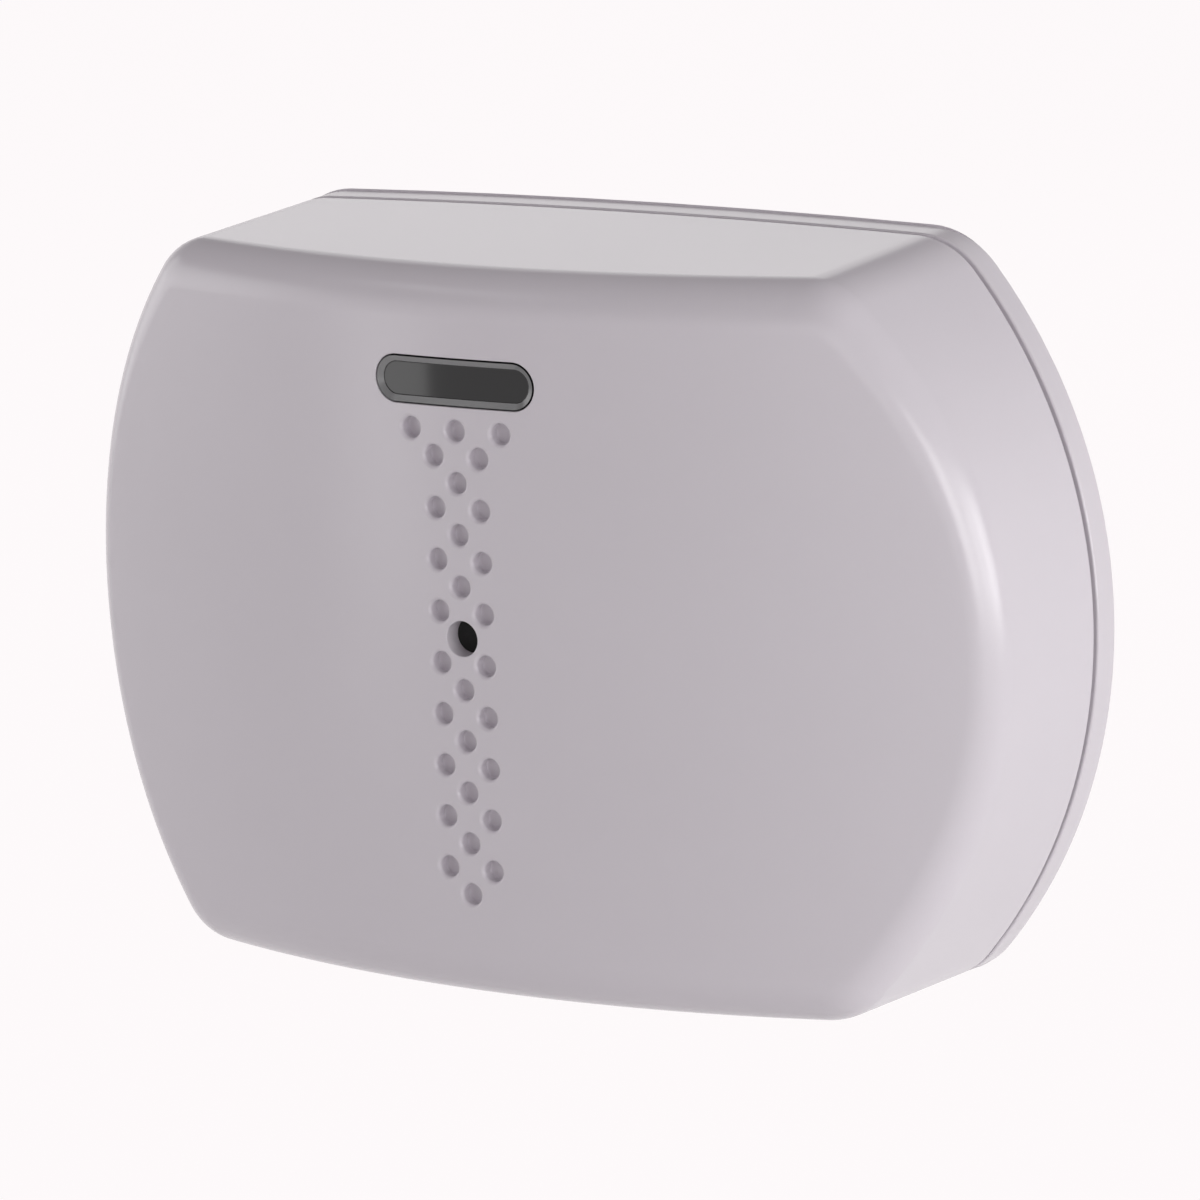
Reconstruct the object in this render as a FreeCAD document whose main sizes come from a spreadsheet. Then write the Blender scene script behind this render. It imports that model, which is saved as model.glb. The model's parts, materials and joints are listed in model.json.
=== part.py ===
# Wireless acoustic glass break sensor.
# Millimetres. The origin is the centre of the rear face that lies on the wall,
# +X runs to the viewer's right, +Z up, and the front of the sensor looks along -Y.
# Depths in the sheet are measured from the wall, so a depth d is the plane y = -d.
import FreeCAD, Part

import os

import Sketcher

os.makedirs("parts", exist_ok=True)

doc = FreeCAD.newDocument("glass_break_sensor")
V = FreeCAD.Vector

# Driving dimensions: alias, value, meaning

DIMENSIONS = [
    ("width", 111.6, "rear outline, side to side"),
    ("height", 80.0, "rear outline, top to bottom"),
    ("side_radius", 56.0, "rear outline, radius of the bowed sides"),
    ("top_radius", 1200.0, "rear outline, radius of the long bow of top and bottom"),
    ("corner_radius", 9.2, "rear outline, radius of the corners"),
    ("side_draft", 1.48, "how far each side draws in from the wall to the front outline"),
    ("top_draft", 2.11, "how far top and bottom draw in from the wall to the front outline"),
    ("front_side_radius", 54.25, "front outline, radius of the bowed sides"),
    ("front_top_radius", 4000.0, "front outline, radius of the long bow"),
    ("front_corner_radius", 8.4, "front outline, radius of the corners"),
    ("depth", 35.75, "wall to the middle of the bowed face"),
    ("crown_radius", 124.3, "radius of the bowed face about a vertical axis"),
    ("edge_round", 4.9, "rounding between the face and the walls"),
    ("wall", 2.4, "wall thickness of the cover"),
    ("base_band", 3.3, "rim of the base that shows behind the seam"),
    ("base_edge_round", 0.15, "rounding of the base's rear edge"),
    ("seam_gap", 0.8, "groove between cover and base"),
    ("base_floor", 2.2, "thickness of the base's floor"),
    ("rib_height", 1.6, "height of the ribs on the base's floor"),
    ("rib_thickness", 1.2, "thickness of the ribs of base and cover"),
    ("cover_rib_x", 20.0, "ribs behind the face, distance from the middle"),
    ("cover_rib_length", 50.0, "length of the ribs behind the face"),
    ("cover_rib_drop", 4.0, "free edge of those ribs behind the middle of the inner face"),
    ("tongue_wall", 1.6, "thickness of the tongue inside the cover"),
    ("tongue_reach", 8.2, "depth of the tongue's front edge"),
    ("tongue_clearance", 0.25, "between the tongue and the cover"),
    ("hook_width", 8.0, "width of a hook on the cover's top wall"),
    ("hook_height", 1.2, "how far a hook stands off the top wall"),
    ("hook_thickness", 1.5, "thickness of a hook"),
    ("hook_depth", 5.0, "rear face of a hook"),
    ("hook_spacing", 40.0, "between the two hooks"),
    ("hook_clearance", 0.4, "around a hook in its window"),
    ("mic_height", 0.2, "height of the microphone hole above the middle"),
    ("mic_hole_radius", 1.85, "radius of the microphone hole"),
    ("mic_wall", 2.1, "wall left in front of the microphone"),
    ("collar_radius", 6.6, "outer radius of the collar round the rubber sleeve"),
    ("collar_reach", 5.5, "length of the collar behind the face"),
    ("collar_clearance", 0.3, "between the collar and the rubber sleeve"),
    ("dimple_radius", 1.1, "radius of a dimple below its flared rim"),
    ("dimple_depth", 1.35, "depth of a dimple"),
    ("dimple_flare", 0.4, "width and depth of a dimple's flared rim"),
    ("dimple_pitch", 2.68, "half pitch of the dimple grid"),
    ("rows_above", 8, "dimple rows above the microphone hole"),
    ("centre_rows", 10, "dimples in the middle column"),
    ("pair_rows", 9, "rows with two dimples"),
    ("window_length", 19.0, "length of the window slot"),
    ("window_height", 5.0, "height of the window slot"),
    ("window_rise", 26.4, "window above the microphone hole"),
    ("window_gap", 0.15, "between the window and its slot"),
    ("window_flange", 1.25, "flange of the window behind the face"),
    ("window_flange_thickness", 1.2, "thickness of that flange"),
    ("window_seat", 1.7, "depth of the flange's seat behind the face"),
    ("bevel_width", 0.6, "width of the window's inward bevel"),
    ("bevel_land", 0.04, "rim left between the slot and that bevel"),
    ("bevel_depth", 0.4, "depth of the window's inward bevel"),
    ("dish_depth", 0.45, "depth of the window's dished face"),
    ("guide_plate", 2.0, "thickness of the light guide's plate"),
    ("guide_plate_length", 15.0, "length of the light guide's plate"),
    ("guide_plate_height", 3.6, "height of the light guide's plate"),
    ("guide_leg_radius", 1.6, "radius of the light guide's legs"),
    ("light_gap", 0.3, "between a status light and its leg"),
    ("light_spacing", 9.0, "between the two status lights"),
    ("light_width", 3.2, "width of a status light"),
    ("light_length", 2.8, "height of a status light"),
    ("light_thickness", 1.5, "thickness of a status light's housing"),
    ("light_dome_radius", 1.1, "radius of a status light's clear dome"),
    ("light_dome", 0.4, "how far that dome stands off the housing"),
    ("board_side_margin", 15.8, "rear outline to the circuit board's left and right edges"),
    ("board_top_margin", 7.0, "rear outline to the circuit board's top and bottom edges"),
    ("board_thickness", 1.6, "circuit board thickness"),
    ("board_corner", 6.0, "corner radius of the circuit board"),
    ("notch_width", 13.0, "notch in the board for the cover screw's boss"),
    ("notch_height", 8.5, "height of that notch"),
    ("post_height", 3.5, "board posts above the base's floor"),
    ("post_radius", 3.0, "radius of a board post"),
    ("post_inset_x", 5.0, "board post from the board's left or right edge"),
    ("post_inset_z", 6.0, "board post from the board's top or bottom edge"),
    ("pilot_radius", 1.05, "radius of a pilot hole"),
    ("board_hole_radius", 1.4, "radius of the board's screw holes"),
    ("screw_radius", 1.0, "radius of a board screw's shank"),
    ("screw_length", 5.6, "length of a board screw under its head"),
    ("screw_head_radius", 2.4, "radius of a board screw's head"),
    ("screw_head", 1.5, "height of a board screw's head"),
    ("recess_width", 0.7, "slot width of a cross recess"),
    ("recess_depth", 0.8, "depth of a cross recess"),
    ("cover_screw_depth", 14.0, "cover screw's distance from the wall"),
    ("cover_screw_radius", 1.45, "radius of the cover screw's shank"),
    ("cover_screw_length", 10.0, "length of the cover screw under its head"),
    ("cover_screw_head_radius", 2.75, "radius of the cover screw's head"),
    ("cover_screw_head", 1.7, "height of the cover screw's head"),
    ("cover_screw_sink", 2.7, "seat of that head inside the rear outline's bottom"),
    ("boss_width", 11.0, "width of the cover screw's boss on the base"),
    ("boss_height", 9.0, "height of that boss"),
    ("boss_reach", 19.0, "depth of that boss's front face"),
    ("boss_gap", 0.3, "between that boss and the cover"),
    ("boss_pad_radius", 4.5, "radius of the thickening in the cover's bottom wall"),
    ("boss_pad", 1.8, "height of that thickening"),
    ("wall_hole_inset", 9.8, "wall screw hole from the rear outline's side"),
    ("wall_hole_radius", 2.1, "radius of a wall screw hole"),
    ("wall_hole_sink", 1.4, "countersink of a wall screw hole"),
    ("wall_hole_boss", 4.6, "radius of the boss round a wall screw hole"),
    ("wall_hole_height", 1.6, "height of that boss above the floor"),
    ("rear_relief", 0.6, "depth of the relief in the rear face"),
    ("rear_rim", 4.0, "width of the flat rim round that relief"),
    ("tamper_x", 22.0, "wall tamper segment, distance left of the middle"),
    ("tamper_z", 14.0, "wall tamper segment, distance below the middle"),
    ("tamper_width", 17.0, "width of the break-away segment"),
    ("tamper_height", 13.0, "height of the break-away segment"),
    ("tamper_cut", 0.9, "width of the cut round the break-away segment"),
    ("tamper_web", 1.6, "width of the webs that hold the segment"),
    ("switch_size", 6.0, "side of a push switch"),
    ("switch_floor", 0.9, "left of a push switch's housing under its bore"),
    ("enrol_inset", 10.0, "enrol switch from the board's left edge"),
    ("enrol_z", 6.0, "enrol switch, distance below the middle"),
    ("enrol_body", 3.4, "height of the enrol switch's housing"),
    ("enrol_stem", 1.6, "enrol button above its housing"),
    ("cover_switch_inset", 10.0, "cover tamper switch from the board's left edge"),
    ("cover_switch_drop", 16.0, "cover tamper switch from the board's top edge"),
    ("cover_switch_body", 4.0, "height of the cover tamper switch's housing"),
    ("cover_switch_stem", 6.0, "its plunger above the housing"),
    ("wall_switch_body", 2.3, "height of the wall tamper switch's housing"),
    ("plunger_radius", 1.65, "radius of buttons and plungers"),
    ("plunger_clearance", 0.05, "between a plunger and its housing"),
    ("plunger_travel", 0.25, "travel of buttons and plungers"),
    ("plunger_stop", 0.1, "left under a plunger at the end of its travel"),
    ("plunger_gap", 0.3, "between a tamper plunger and what presses it"),
    ("post_tip_radius", 2.4, "radius of the post that presses the cover plunger"),
    ("sleeve_radius", 4.6, "radius of the rubber sleeve at the face"),
    ("sleeve_bore", 2.0, "sound bore of the rubber sleeve"),
    ("sleeve_foot_radius", 7.0, "radius of the rubber sleeve at the board"),
    ("sleeve_foot", 6.4, "height of the sleeve's wide foot"),
    ("capsule_radius", 4.85, "radius of the microphone capsule"),
    ("capsule_height", 4.5, "height of the microphone capsule"),
    ("capsule_clearance", 0.1, "between the capsule and the sleeve"),
    ("capsule_port_radius", 1.0, "radius of the capsule's port"),
    ("capsule_port_depth", 0.6, "depth of the capsule's port"),
    ("mesh_radius", 3.6, "radius of the dust mesh"),
    ("mesh_thickness", 0.3, "thickness of the dust mesh"),
    ("cell_radius", 8.5, "radius of the battery cell"),
    ("cell_length", 33.4, "length of the battery cell without its nub"),
    ("cell_nub_radius", 3.1, "radius of the positive nub"),
    ("cell_nub", 1.1, "height of the positive nub"),
    ("cell_x", 27.5, "battery cell, distance right of the middle"),
    ("cell_round", 0.9, "rounding of the cell's ends"),
    ("holder_floor", 1.2, "thickness of the battery holder's floor"),
    ("holder_wall", 1.4, "thickness of the battery holder's walls"),
    ("holder_height", 12.0, "height of the battery holder's side walls"),
    ("holder_gap", 0.3, "between the cell and the holder"),
    ("contact_room", 2.2, "room for a contact at each end of the cell"),
    ("contact_sheet", 0.4, "thickness of the contact springs"),
    ("contact_width", 9.0, "width of the contact springs"),
    ("contact_foot", 2.4, "length of a contact's soldered foot"),
    ("radio_inset", 18.0, "radio module from the board's left edge"),
    ("radio_drop", 6.0, "radio module from the board's top edge"),
    ("radio_width", 18.0, "width of the radio module"),
    ("radio_height", 9.0, "height of the radio module"),
    ("radio_board", 0.8, "thickness of the radio module's board"),
    ("can_inset", 0.9, "shield can inside the module's edge"),
    ("can_height", 2.0, "height of the shield can"),
    ("can_sheet", 0.3, "sheet thickness of the shield can"),
    ("antenna_radius", 2.2, "mean radius of the antenna's turns"),
    ("antenna_wire", 0.4, "radius of the antenna's wire"),
    ("antenna_pitch", 2.4, "pitch of the antenna's turns"),
    ("antenna_turns", 6, "turns of the antenna"),
    ("antenna_x", 14.0, "left end of the antenna, left of the middle"),
    ("antenna_drop", 14.0, "antenna from the board's top edge"),
    ("antenna_clearance", 1.0, "least gap between the antenna and the light guide"),
    ("antenna_rise", 0.4, "between the antenna's turns and the board"),
    ("mcu_inset", 19.0, "microcontroller from the board's left edge"),
    ("mcu_rise", 4.0, "microcontroller from the board's bottom edge"),
    ("mcu_length", 12.0, "length of the microcontroller's package"),
    ("mcu_width", 5.6, "width of the microcontroller's package"),
    ("mcu_pins", 10, "pins on each side of the microcontroller"),
    ("audio_x", 16.0, "audio processor, distance left of the middle"),
    ("audio_z", 6.0, "audio processor, distance above the middle"),
    ("audio_length", 8.6, "length of the audio processor's package"),
    ("audio_width", 3.9, "width of the audio processor's package"),
    ("audio_pins", 7, "pins on each side of the audio processor"),
    ("chip_thickness", 1.5, "thickness of the chip packages"),
    ("chip_standoff", 0.1, "between a chip package and the board"),
    ("pin_reach", 1.0, "how far the pins stand out of a package"),
    ("pin_width", 0.4, "width of a pin"),
    ("pin_thickness", 0.2, "thickness of a pin's foot"),
    ("pin_pitch", 1.1, "pitch of the pins"),
    ("crystal_x", 5.0, "timing crystal, distance left of the middle"),
    ("crystal_z", 18.0, "timing crystal, distance below the middle"),
    ("crystal_length", 10.6, "length of the timing crystal"),
    ("crystal_width", 4.4, "width of the timing crystal"),
    ("crystal_height", 3.4, "height of the timing crystal"),
    ("capacitor_x", 11.0, "reservoir capacitor, distance right of the middle"),
    ("capacitor_z", 14.0, "reservoir capacitor, distance below the middle"),
    ("capacitor_radius", 4.0, "radius of the reservoir capacitor"),
    ("capacitor_height", 9.5, "height of the reservoir capacitor"),
    ("capacitor_base", 1.4, "thickness of the capacitor's moulded base"),
    ("capacitor_base_side", 8.2, "side of that base"),
    ("capacitor_crimp", 0.32, "depth of the groove round the capacitor's can"),
    ("header_x", 6.0, "service header, distance left of the middle"),
    ("header_z", 11.0, "service header, distance below the middle"),
    ("header_pins", 5, "pins of the service header"),
    ("header_pitch", 2.54, "pitch of the service header"),
    ("header_pin", 0.64, "side of a service header pin"),
    ("header_pin_length", 7.6, "length of a service header pin above the board"),
    ("chip_part_length", 2.0, "length of a small surface-mounted part"),
    ("chip_part_width", 1.25, "width of a small surface-mounted part"),
    ("chip_part_height", 0.6, "height of a small surface-mounted part"),
    ("chip_part_gap", 1.6, "between a larger part and the small ones beside it"),
    ("chip_part_pitch", 3.1, "between the middles of neighbouring small parts"),
]

sheet = doc.addObject("Spreadsheet::Sheet", "dims")
for row, (alias, size, meaning) in enumerate(DIMENSIONS, start=1):
    sheet.set(f"A{row}", meaning)
    sheet.set(f"B{row}", str(size))
    sheet.setAlias(f"B{row}", alias)
doc.recompute()

# Depths and heights that several pieces share, as expressions of the sheet

FLOOR = "dims.base_floor"
BOARD_REAR = f"({FLOOR} + dims.post_height)"
BOARD_FRONT = f"({BOARD_REAR} + dims.board_thickness)"
SEAM_FRONT = "(dims.base_band + dims.seam_gap)"
MIC_SEAT = "(dims.depth - dims.mic_wall)"
SLEEVE_FRONT = f"({MIC_SEAT} - dims.mesh_thickness)"
WINDOW_Z = "(dims.mic_height + dims.window_rise)"
WINDOW_SEAT = "(dims.depth - dims.window_seat)"
WINDOW_BACK = f"({WINDOW_SEAT} - dims.window_flange_thickness)"
CELL_FLOOR = f"({BOARD_FRONT} + dims.holder_floor)"
CELL_DEPTH = f"({CELL_FLOOR} + dims.holder_gap + dims.cell_radius)"
TONGUE_INSET = "(dims.wall + dims.tongue_clearance)"
ROW_TOP = "(dims.mic_height + dims.rows_above * dims.dimple_pitch)"
BOARD_WIDTH = "(dims.width - 2 * dims.board_side_margin)"
BOARD_HEIGHT = "(dims.height - 2 * dims.board_top_margin)"
POST_X = f"({BOARD_WIDTH} / 2 - dims.post_inset_x)"
POST_Z = f"({BOARD_HEIGHT} / 2 - dims.post_inset_z)"
WALL_HOLE_X = "(dims.width / 2 - dims.wall_hole_inset)"
COVER_SWITCH_X = f"({BOARD_WIDTH} / 2 - dims.cover_switch_inset)"
COVER_SWITCH_Z = f"({BOARD_HEIGHT} / 2 - dims.cover_switch_drop)"
RADIO_X = f"({BOARD_WIDTH} / 2 - dims.radio_inset)"
RADIO_Z = f"({BOARD_HEIGHT} / 2 - dims.radio_drop)"
MCU_X = f"({BOARD_WIDTH} / 2 - dims.mcu_inset)"
MCU_Z = f"({BOARD_HEIGHT} / 2 - dims.mcu_rise)"

# How far a cut runs past the wall that it goes through, and a size beyond the whole part

THROUGH = "(dims.wall * 4)"
FAR = "(dims.width + dims.height)"

# Half width and half height of the rear and the front outline

OUTLINE_HALVES = {
    "": ("dims.width / 2", "dims.height / 2"),
    "front_": ("(dims.width / 2 - dims.side_draft)", "(dims.height / 2 - dims.top_draft)"),
}

# Two lengths closer than this, in millimetres, count as the same

SAME = 0.01

# Shares that give a screw its form: tip and shank, head's edge and top, recess and head

SCREW_TIP = 0.4
HEAD_EDGE = 0.5
HEAD_TOP = 0.7
RECESS_SPAN = 1.1


def number(expression):
    """The expression's present value."""
    return float(sheet.evalExpression(str(expression)))


def crown_depth(x, inset="0"):
    """Depth of the bowed face, moved inwards by inset, at a distance x from the middle."""
    radius = f"(dims.crown_radius - {inset})"
    return f"(dims.depth - dims.crown_radius + sqrt({radius}^2 - ({x})^2))"


# Bodies, sketches and features


def new_body(name):
    body = doc.addObject("PartDesign::Body", name)
    body.Label = name
    return body


def sketch_on(body, name, role, x="0", y="0", offset="0"):
    """A sketch on one of the body's origin planes, moved along it and off it."""
    sketch = body.newObject("Sketcher::SketchObject", name)
    plane = next(item for item in body.Origin.OriginFeatures if item.Role == role)
    sketch.AttachmentSupport = [(plane, "")]
    sketch.MapMode = "FlatFace"
    sketch.setExpression("AttachmentOffset.Base.x", str(x))
    sketch.setExpression("AttachmentOffset.Base.y", str(y))
    sketch.setExpression("AttachmentOffset.Base.z", str(offset))
    return sketch


def face_sketch(body, name, depth, x="0", z="0"):
    """A sketch parallel to the wall at a depth, with its own origin at x, z."""
    return sketch_on(body, name, "XZ_Plane", x, z, depth)


def bind(sketch, constraint, name, expression):
    index = sketch.addConstraint(constraint)
    sketch.renameConstraint(index, name)
    sketch.setExpression(f"Constraints.{name}", str(expression))


def circle(sketch, radius, x="0", y="0"):
    at_x = number(x)
    at_y = number(y)
    size = number(radius)
    edge = sketch.addGeometry(Part.Circle(V(at_x, at_y, 0), V(0, 0, 1), size), False)
    bind(sketch, Sketcher.Constraint("DistanceX", -1, 1, edge, 3, at_x), f"x{edge}", x)
    bind(sketch, Sketcher.Constraint("DistanceY", -1, 1, edge, 3, at_y), f"y{edge}", y)
    bind(sketch, Sketcher.Constraint("Radius", edge, size), f"radius{edge}", radius)


def loop(sketch, corners):
    """A closed outline of straight lines; each corner is a pair of expressions."""
    points = [V(number(x), number(y), 0) for x, y in corners]
    edges = []
    for start, end in zip(points, points[1:] + points[:1]):
        edges.append(sketch.addGeometry(Part.LineSegment(start, end), False))
    for edge, following in zip(edges, edges[1:] + edges[:1]):
        sketch.addConstraint(Sketcher.Constraint("Coincident", edge, 2, following, 1))
    for edge, point, (x, y) in zip(edges, points, corners):
        bind(sketch, Sketcher.Constraint("DistanceX", -1, 1, edge, 1, point.x), f"x{edge}", x)
        bind(sketch, Sketcher.Constraint("DistanceY", -1, 1, edge, 1, point.y), f"y{edge}", y)


def rectangle(sketch, width, height, x="0", y="0"):
    """A rectangle about the point x, y."""
    left = f"({x}) - ({width}) / 2"
    right = f"({x}) + ({width}) / 2"
    low = f"({y}) - ({height}) / 2"
    high = f"({y}) + ({height}) / 2"
    loop(sketch, [(left, low), (right, low), (right, high), (left, high)])


def arc(centre, radius, start, end):
    """Part of a circle, anticlockwise from start to end, in radians."""
    return Part.ArcOfCircle(Part.Circle(centre, V(0, 0, 1), radius), start, end)


def stadium(sketch, length, height):
    """A slot with round ends about the sketch's origin."""
    half = number(f"(({length}) - ({height})) / 2")
    radius = number(f"({height}) / 2")
    quarter = FreeCAD.Units.Quantity("90 deg").getValueAs("rad").Value
    right = sketch.addGeometry(arc(V(half, 0, 0), radius, -quarter, quarter), False)
    top = sketch.addGeometry(Part.LineSegment(V(half, radius, 0), V(-half, radius, 0)), False)
    left = sketch.addGeometry(arc(V(-half, 0, 0), radius, quarter, 3 * quarter), False)
    bottom = sketch.addGeometry(Part.LineSegment(V(-half, -radius, 0), V(half, -radius, 0)), False)
    chain = [right, top, left, bottom]
    for edge, following in zip(chain, chain[1:] + chain[:1]):
        sketch.addConstraint(Sketcher.Constraint("Tangent", edge, 2, following, 1))
    sketch.addConstraint(Sketcher.Constraint("Equal", right, left))
    sketch.addConstraint(Sketcher.Constraint("PointOnObject", right, 3, -1))
    sketch.addConstraint(Sketcher.Constraint("PointOnObject", left, 3, -1))
    centre = f"(({length}) - ({height})) / 2"
    bind(sketch, Sketcher.Constraint("DistanceX", -1, 1, right, 3, half), "right", centre)
    bind(sketch, Sketcher.Constraint("DistanceX", -1, 1, left, 3, -half), "left", f"-{centre}")
    bind(sketch, Sketcher.Constraint("Radius", right, radius), "radius", f"({height}) / 2")


def pad(body, sketch, length, name, backwards=False):
    """Material from the sketch towards the front, or towards the wall."""
    feature = body.newObject("PartDesign::Pad", name)
    feature.Profile = sketch
    feature.setExpression("Length", str(length))
    feature.Reversed = backwards
    body.Tip = feature
    return feature


def pocket(body, sketch, length, name, forwards=False):
    """A cut from the sketch towards the wall, or towards the front."""
    feature = body.newObject("PartDesign::Pocket", name)
    feature.Profile = sketch
    feature.setExpression("Length", str(length))
    feature.Reversed = forwards
    body.Tip = feature
    return feature


def row_of(body, original, sketch, spacing, count, name, axis="V_Axis", backwards=False):
    """Copies of a feature along one axis of its sketch."""
    pattern = body.newObject("PartDesign::LinearPattern", name)
    pattern.Originals = [original]
    pattern.Direction = (sketch, [axis])
    pattern.Reversed = backwards
    pattern.setExpression("Length", f"({spacing}) * ({count} - 1)")
    pattern.setExpression("Occurrences", str(count))
    body.Tip = pattern
    return pattern


def edge_names(shape, wanted):
    """Names of the shape's edges that satisfy a test."""
    return [f"Edge{i}" for i, edge in enumerate(shape.Edges, start=1) if wanted(edge)]


def fillet(body, base, names, radius, name):
    feature = body.newObject("PartDesign::Fillet", name)
    feature.Base = (base, names)
    feature.setExpression("Radius", str(radius))
    body.Tip = feature
    return feature


def box(name, size_x, size_y, size_z, x, y, z):
    """A block whose lowest corner is at x, y, z."""
    block = doc.addObject("Part::Box", name)
    for key, expression in (("Length", size_x), ("Width", size_y), ("Height", size_z)):
        block.setExpression(key, str(expression))
    for key, expression in (("x", x), ("y", y), ("z", z)):
        block.setExpression(f"Placement.Base.{key}", str(expression))
    return block


def board_block(name, width, height, thickness, x, z, depth=BOARD_FRONT):
    """A block about x, z that stands off a depth towards the front."""
    low_x = f"({x}) - ({width}) / 2"
    low_z = f"({z}) - ({height}) / 2"
    return box(name, width, thickness, height, low_x, f"-({depth}) - ({thickness})", low_z)


def rod(name, radius, length, x, z, depth):
    """A round rod that starts at a depth and runs towards the front."""
    item = doc.addObject("Part::Cylinder", name)
    item.setExpression("Radius", str(radius))
    item.setExpression("Height", str(length))
    item.Placement = FreeCAD.Placement(V(0, 0, 0), FreeCAD.Rotation(V(1, 0, 0), 90))
    item.setExpression("Placement.Base.x", str(x))
    item.setExpression("Placement.Base.y", f"-({depth})")
    item.setExpression("Placement.Base.z", str(z))
    return item


def joined(name, pieces):
    item = doc.addObject("Part::MultiFuse", name)
    item.Shapes = pieces
    return item


def cut(name, base, tool):
    item = doc.addObject("Part::Cut", name)
    item.Base = base
    item.Tool = tool
    return item


def group(name, pieces):
    """Separate like solids under one name."""
    item = doc.addObject("Part::Compound", name)
    item.Links = pieces
    return item


# The outline and the drafted, bowed form that cover and base share


def outline(sketch, side, inset="0"):
    """Bowed sides and nearly straight top and bottom, joined by tangent corners.

    side is "" for the rear outline and "front_" for the front one. An inset moves
    every arc inwards about its own centre.
    """
    half_width, half_height = OUTLINE_HALVES[side]
    side_radius = number(f"dims.{side}side_radius")
    top_radius = number(f"dims.{side}top_radius")
    corner_radius = number(f"dims.{side}corner_radius")
    moved = number(inset)

    side_centre = V(number(half_width) - side_radius, 0, 0)
    top_centre = V(0, number(half_height) - top_radius, 0)
    corner = meeting_point(
        side_centre, side_radius - corner_radius, top_centre, top_radius - corner_radius
    )
    steep = angle_of(corner - side_centre)
    shallow = angle_of(corner - top_centre)
    half_turn = FreeCAD.Units.Quantity("180 deg").getValueAs("rad").Value

    arcs = [
        (side_centre, side_radius, -steep, steep),
        (corner, corner_radius, steep, shallow),
        (top_centre, top_radius, shallow, half_turn - shallow),
        (V(-corner.x, corner.y, 0), corner_radius, half_turn - shallow, half_turn - steep),
        (-side_centre, side_radius, half_turn - steep, half_turn + steep),
        (-corner, corner_radius, half_turn + steep, half_turn + shallow),
        (-top_centre, top_radius, half_turn + shallow, 2 * half_turn - shallow),
        (V(corner.x, -corner.y, 0), corner_radius, 2 * half_turn - shallow, 2 * half_turn - steep),
    ]
    edges = []
    for centre, radius, start, end in arcs:
        edges.append(sketch.addGeometry(arc(centre, radius - moved, start, end), False))
    for edge, following in zip(edges, edges[1:] + edges[:1]):
        sketch.addConstraint(Sketcher.Constraint("Tangent", edge, 2, following, 1))
    right, corner_edge, top, _, left, _, bottom, _ = edges
    sketch.addConstraint(Sketcher.Constraint("Equal", right, left))
    sketch.addConstraint(Sketcher.Constraint("Equal", top, bottom))
    for other in edges[3::2]:
        sketch.addConstraint(Sketcher.Constraint("Equal", corner_edge, other))
    for edge, axis in ((right, -1), (left, -1), (top, -2), (bottom, -2)):
        sketch.addConstraint(Sketcher.Constraint("PointOnObject", edge, 3, axis))

    side_offset = f"{half_width} - dims.{side}side_radius"
    top_offset = f"{half_height} - dims.{side}top_radius"
    for edge, kind, value, name, expression in (
        (right, "DistanceX", side_centre.x, "right_centre", side_offset),
        (left, "DistanceX", -side_centre.x, "left_centre", f"-({side_offset})"),
        (top, "DistanceY", top_centre.y, "top_centre", top_offset),
        (bottom, "DistanceY", -top_centre.y, "bottom_centre", f"-({top_offset})"),
    ):
        bind(sketch, Sketcher.Constraint(kind, -1, 1, edge, 3, value), name, expression)
    for edge, radius, name in (
        (right, side_radius, "side_radius"),
        (top, top_radius, "top_radius"),
        (corner_edge, corner_radius, "corner_radius"),
    ):
        expression = f"dims.{side}{name} - {inset}"
        bind(sketch, Sketcher.Constraint("Radius", edge, radius - moved), name, expression)


def meeting_point(centre_a, radius_a, centre_b, radius_b):
    """The point right of the middle that is radius_a from one centre and radius_b from the other."""
    between = centre_b - centre_a
    span = between.Length
    along = (radius_a**2 - radius_b**2 + span**2) / (2 * span)
    across = (radius_a**2 - along**2) ** 0.5
    forward = between / span
    sideways = V(-forward.y, forward.x, 0)
    candidates = [centre_a + forward * along + sideways * sign * across for sign in (1, -1)]
    return max(candidates, key=lambda point: point.x)


def angle_of(vector):
    """Direction of a vector in the sketch plane, in radians, anticlockwise from the right."""
    angle = V(1, 0, 0).getAngle(vector)
    return angle if vector.y >= 0 else -angle


def drafted_walls(body, inset="0", rear="0"):
    """The walls: a ruled loft from the rear outline to the front outline."""
    back = face_sketch(body, "rear_outline", rear)
    outline(back, "", inset)
    front = face_sketch(body, "front_outline", "dims.depth")
    outline(front, "front_", inset)
    loft = body.newObject("PartDesign::AdditiveLoft", "walls")
    loft.Profile = back
    loft.Sections = [front]
    loft.Ruled = True
    body.Tip = loft
    return loft


def cut_front(body, depth, name):
    """Removes everything in front of a depth."""
    sketch = face_sketch(body, f"{name}_line", depth)
    rectangle(sketch, FAR, FAR)
    return pocket(body, sketch, FAR, name, forwards=True)


def cut_rear(body, depth, name):
    """Removes everything behind a depth."""
    sketch = face_sketch(body, f"{name}_line", depth)
    rectangle(sketch, FAR, FAR)
    return pocket(body, sketch, FAR, name)


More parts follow.
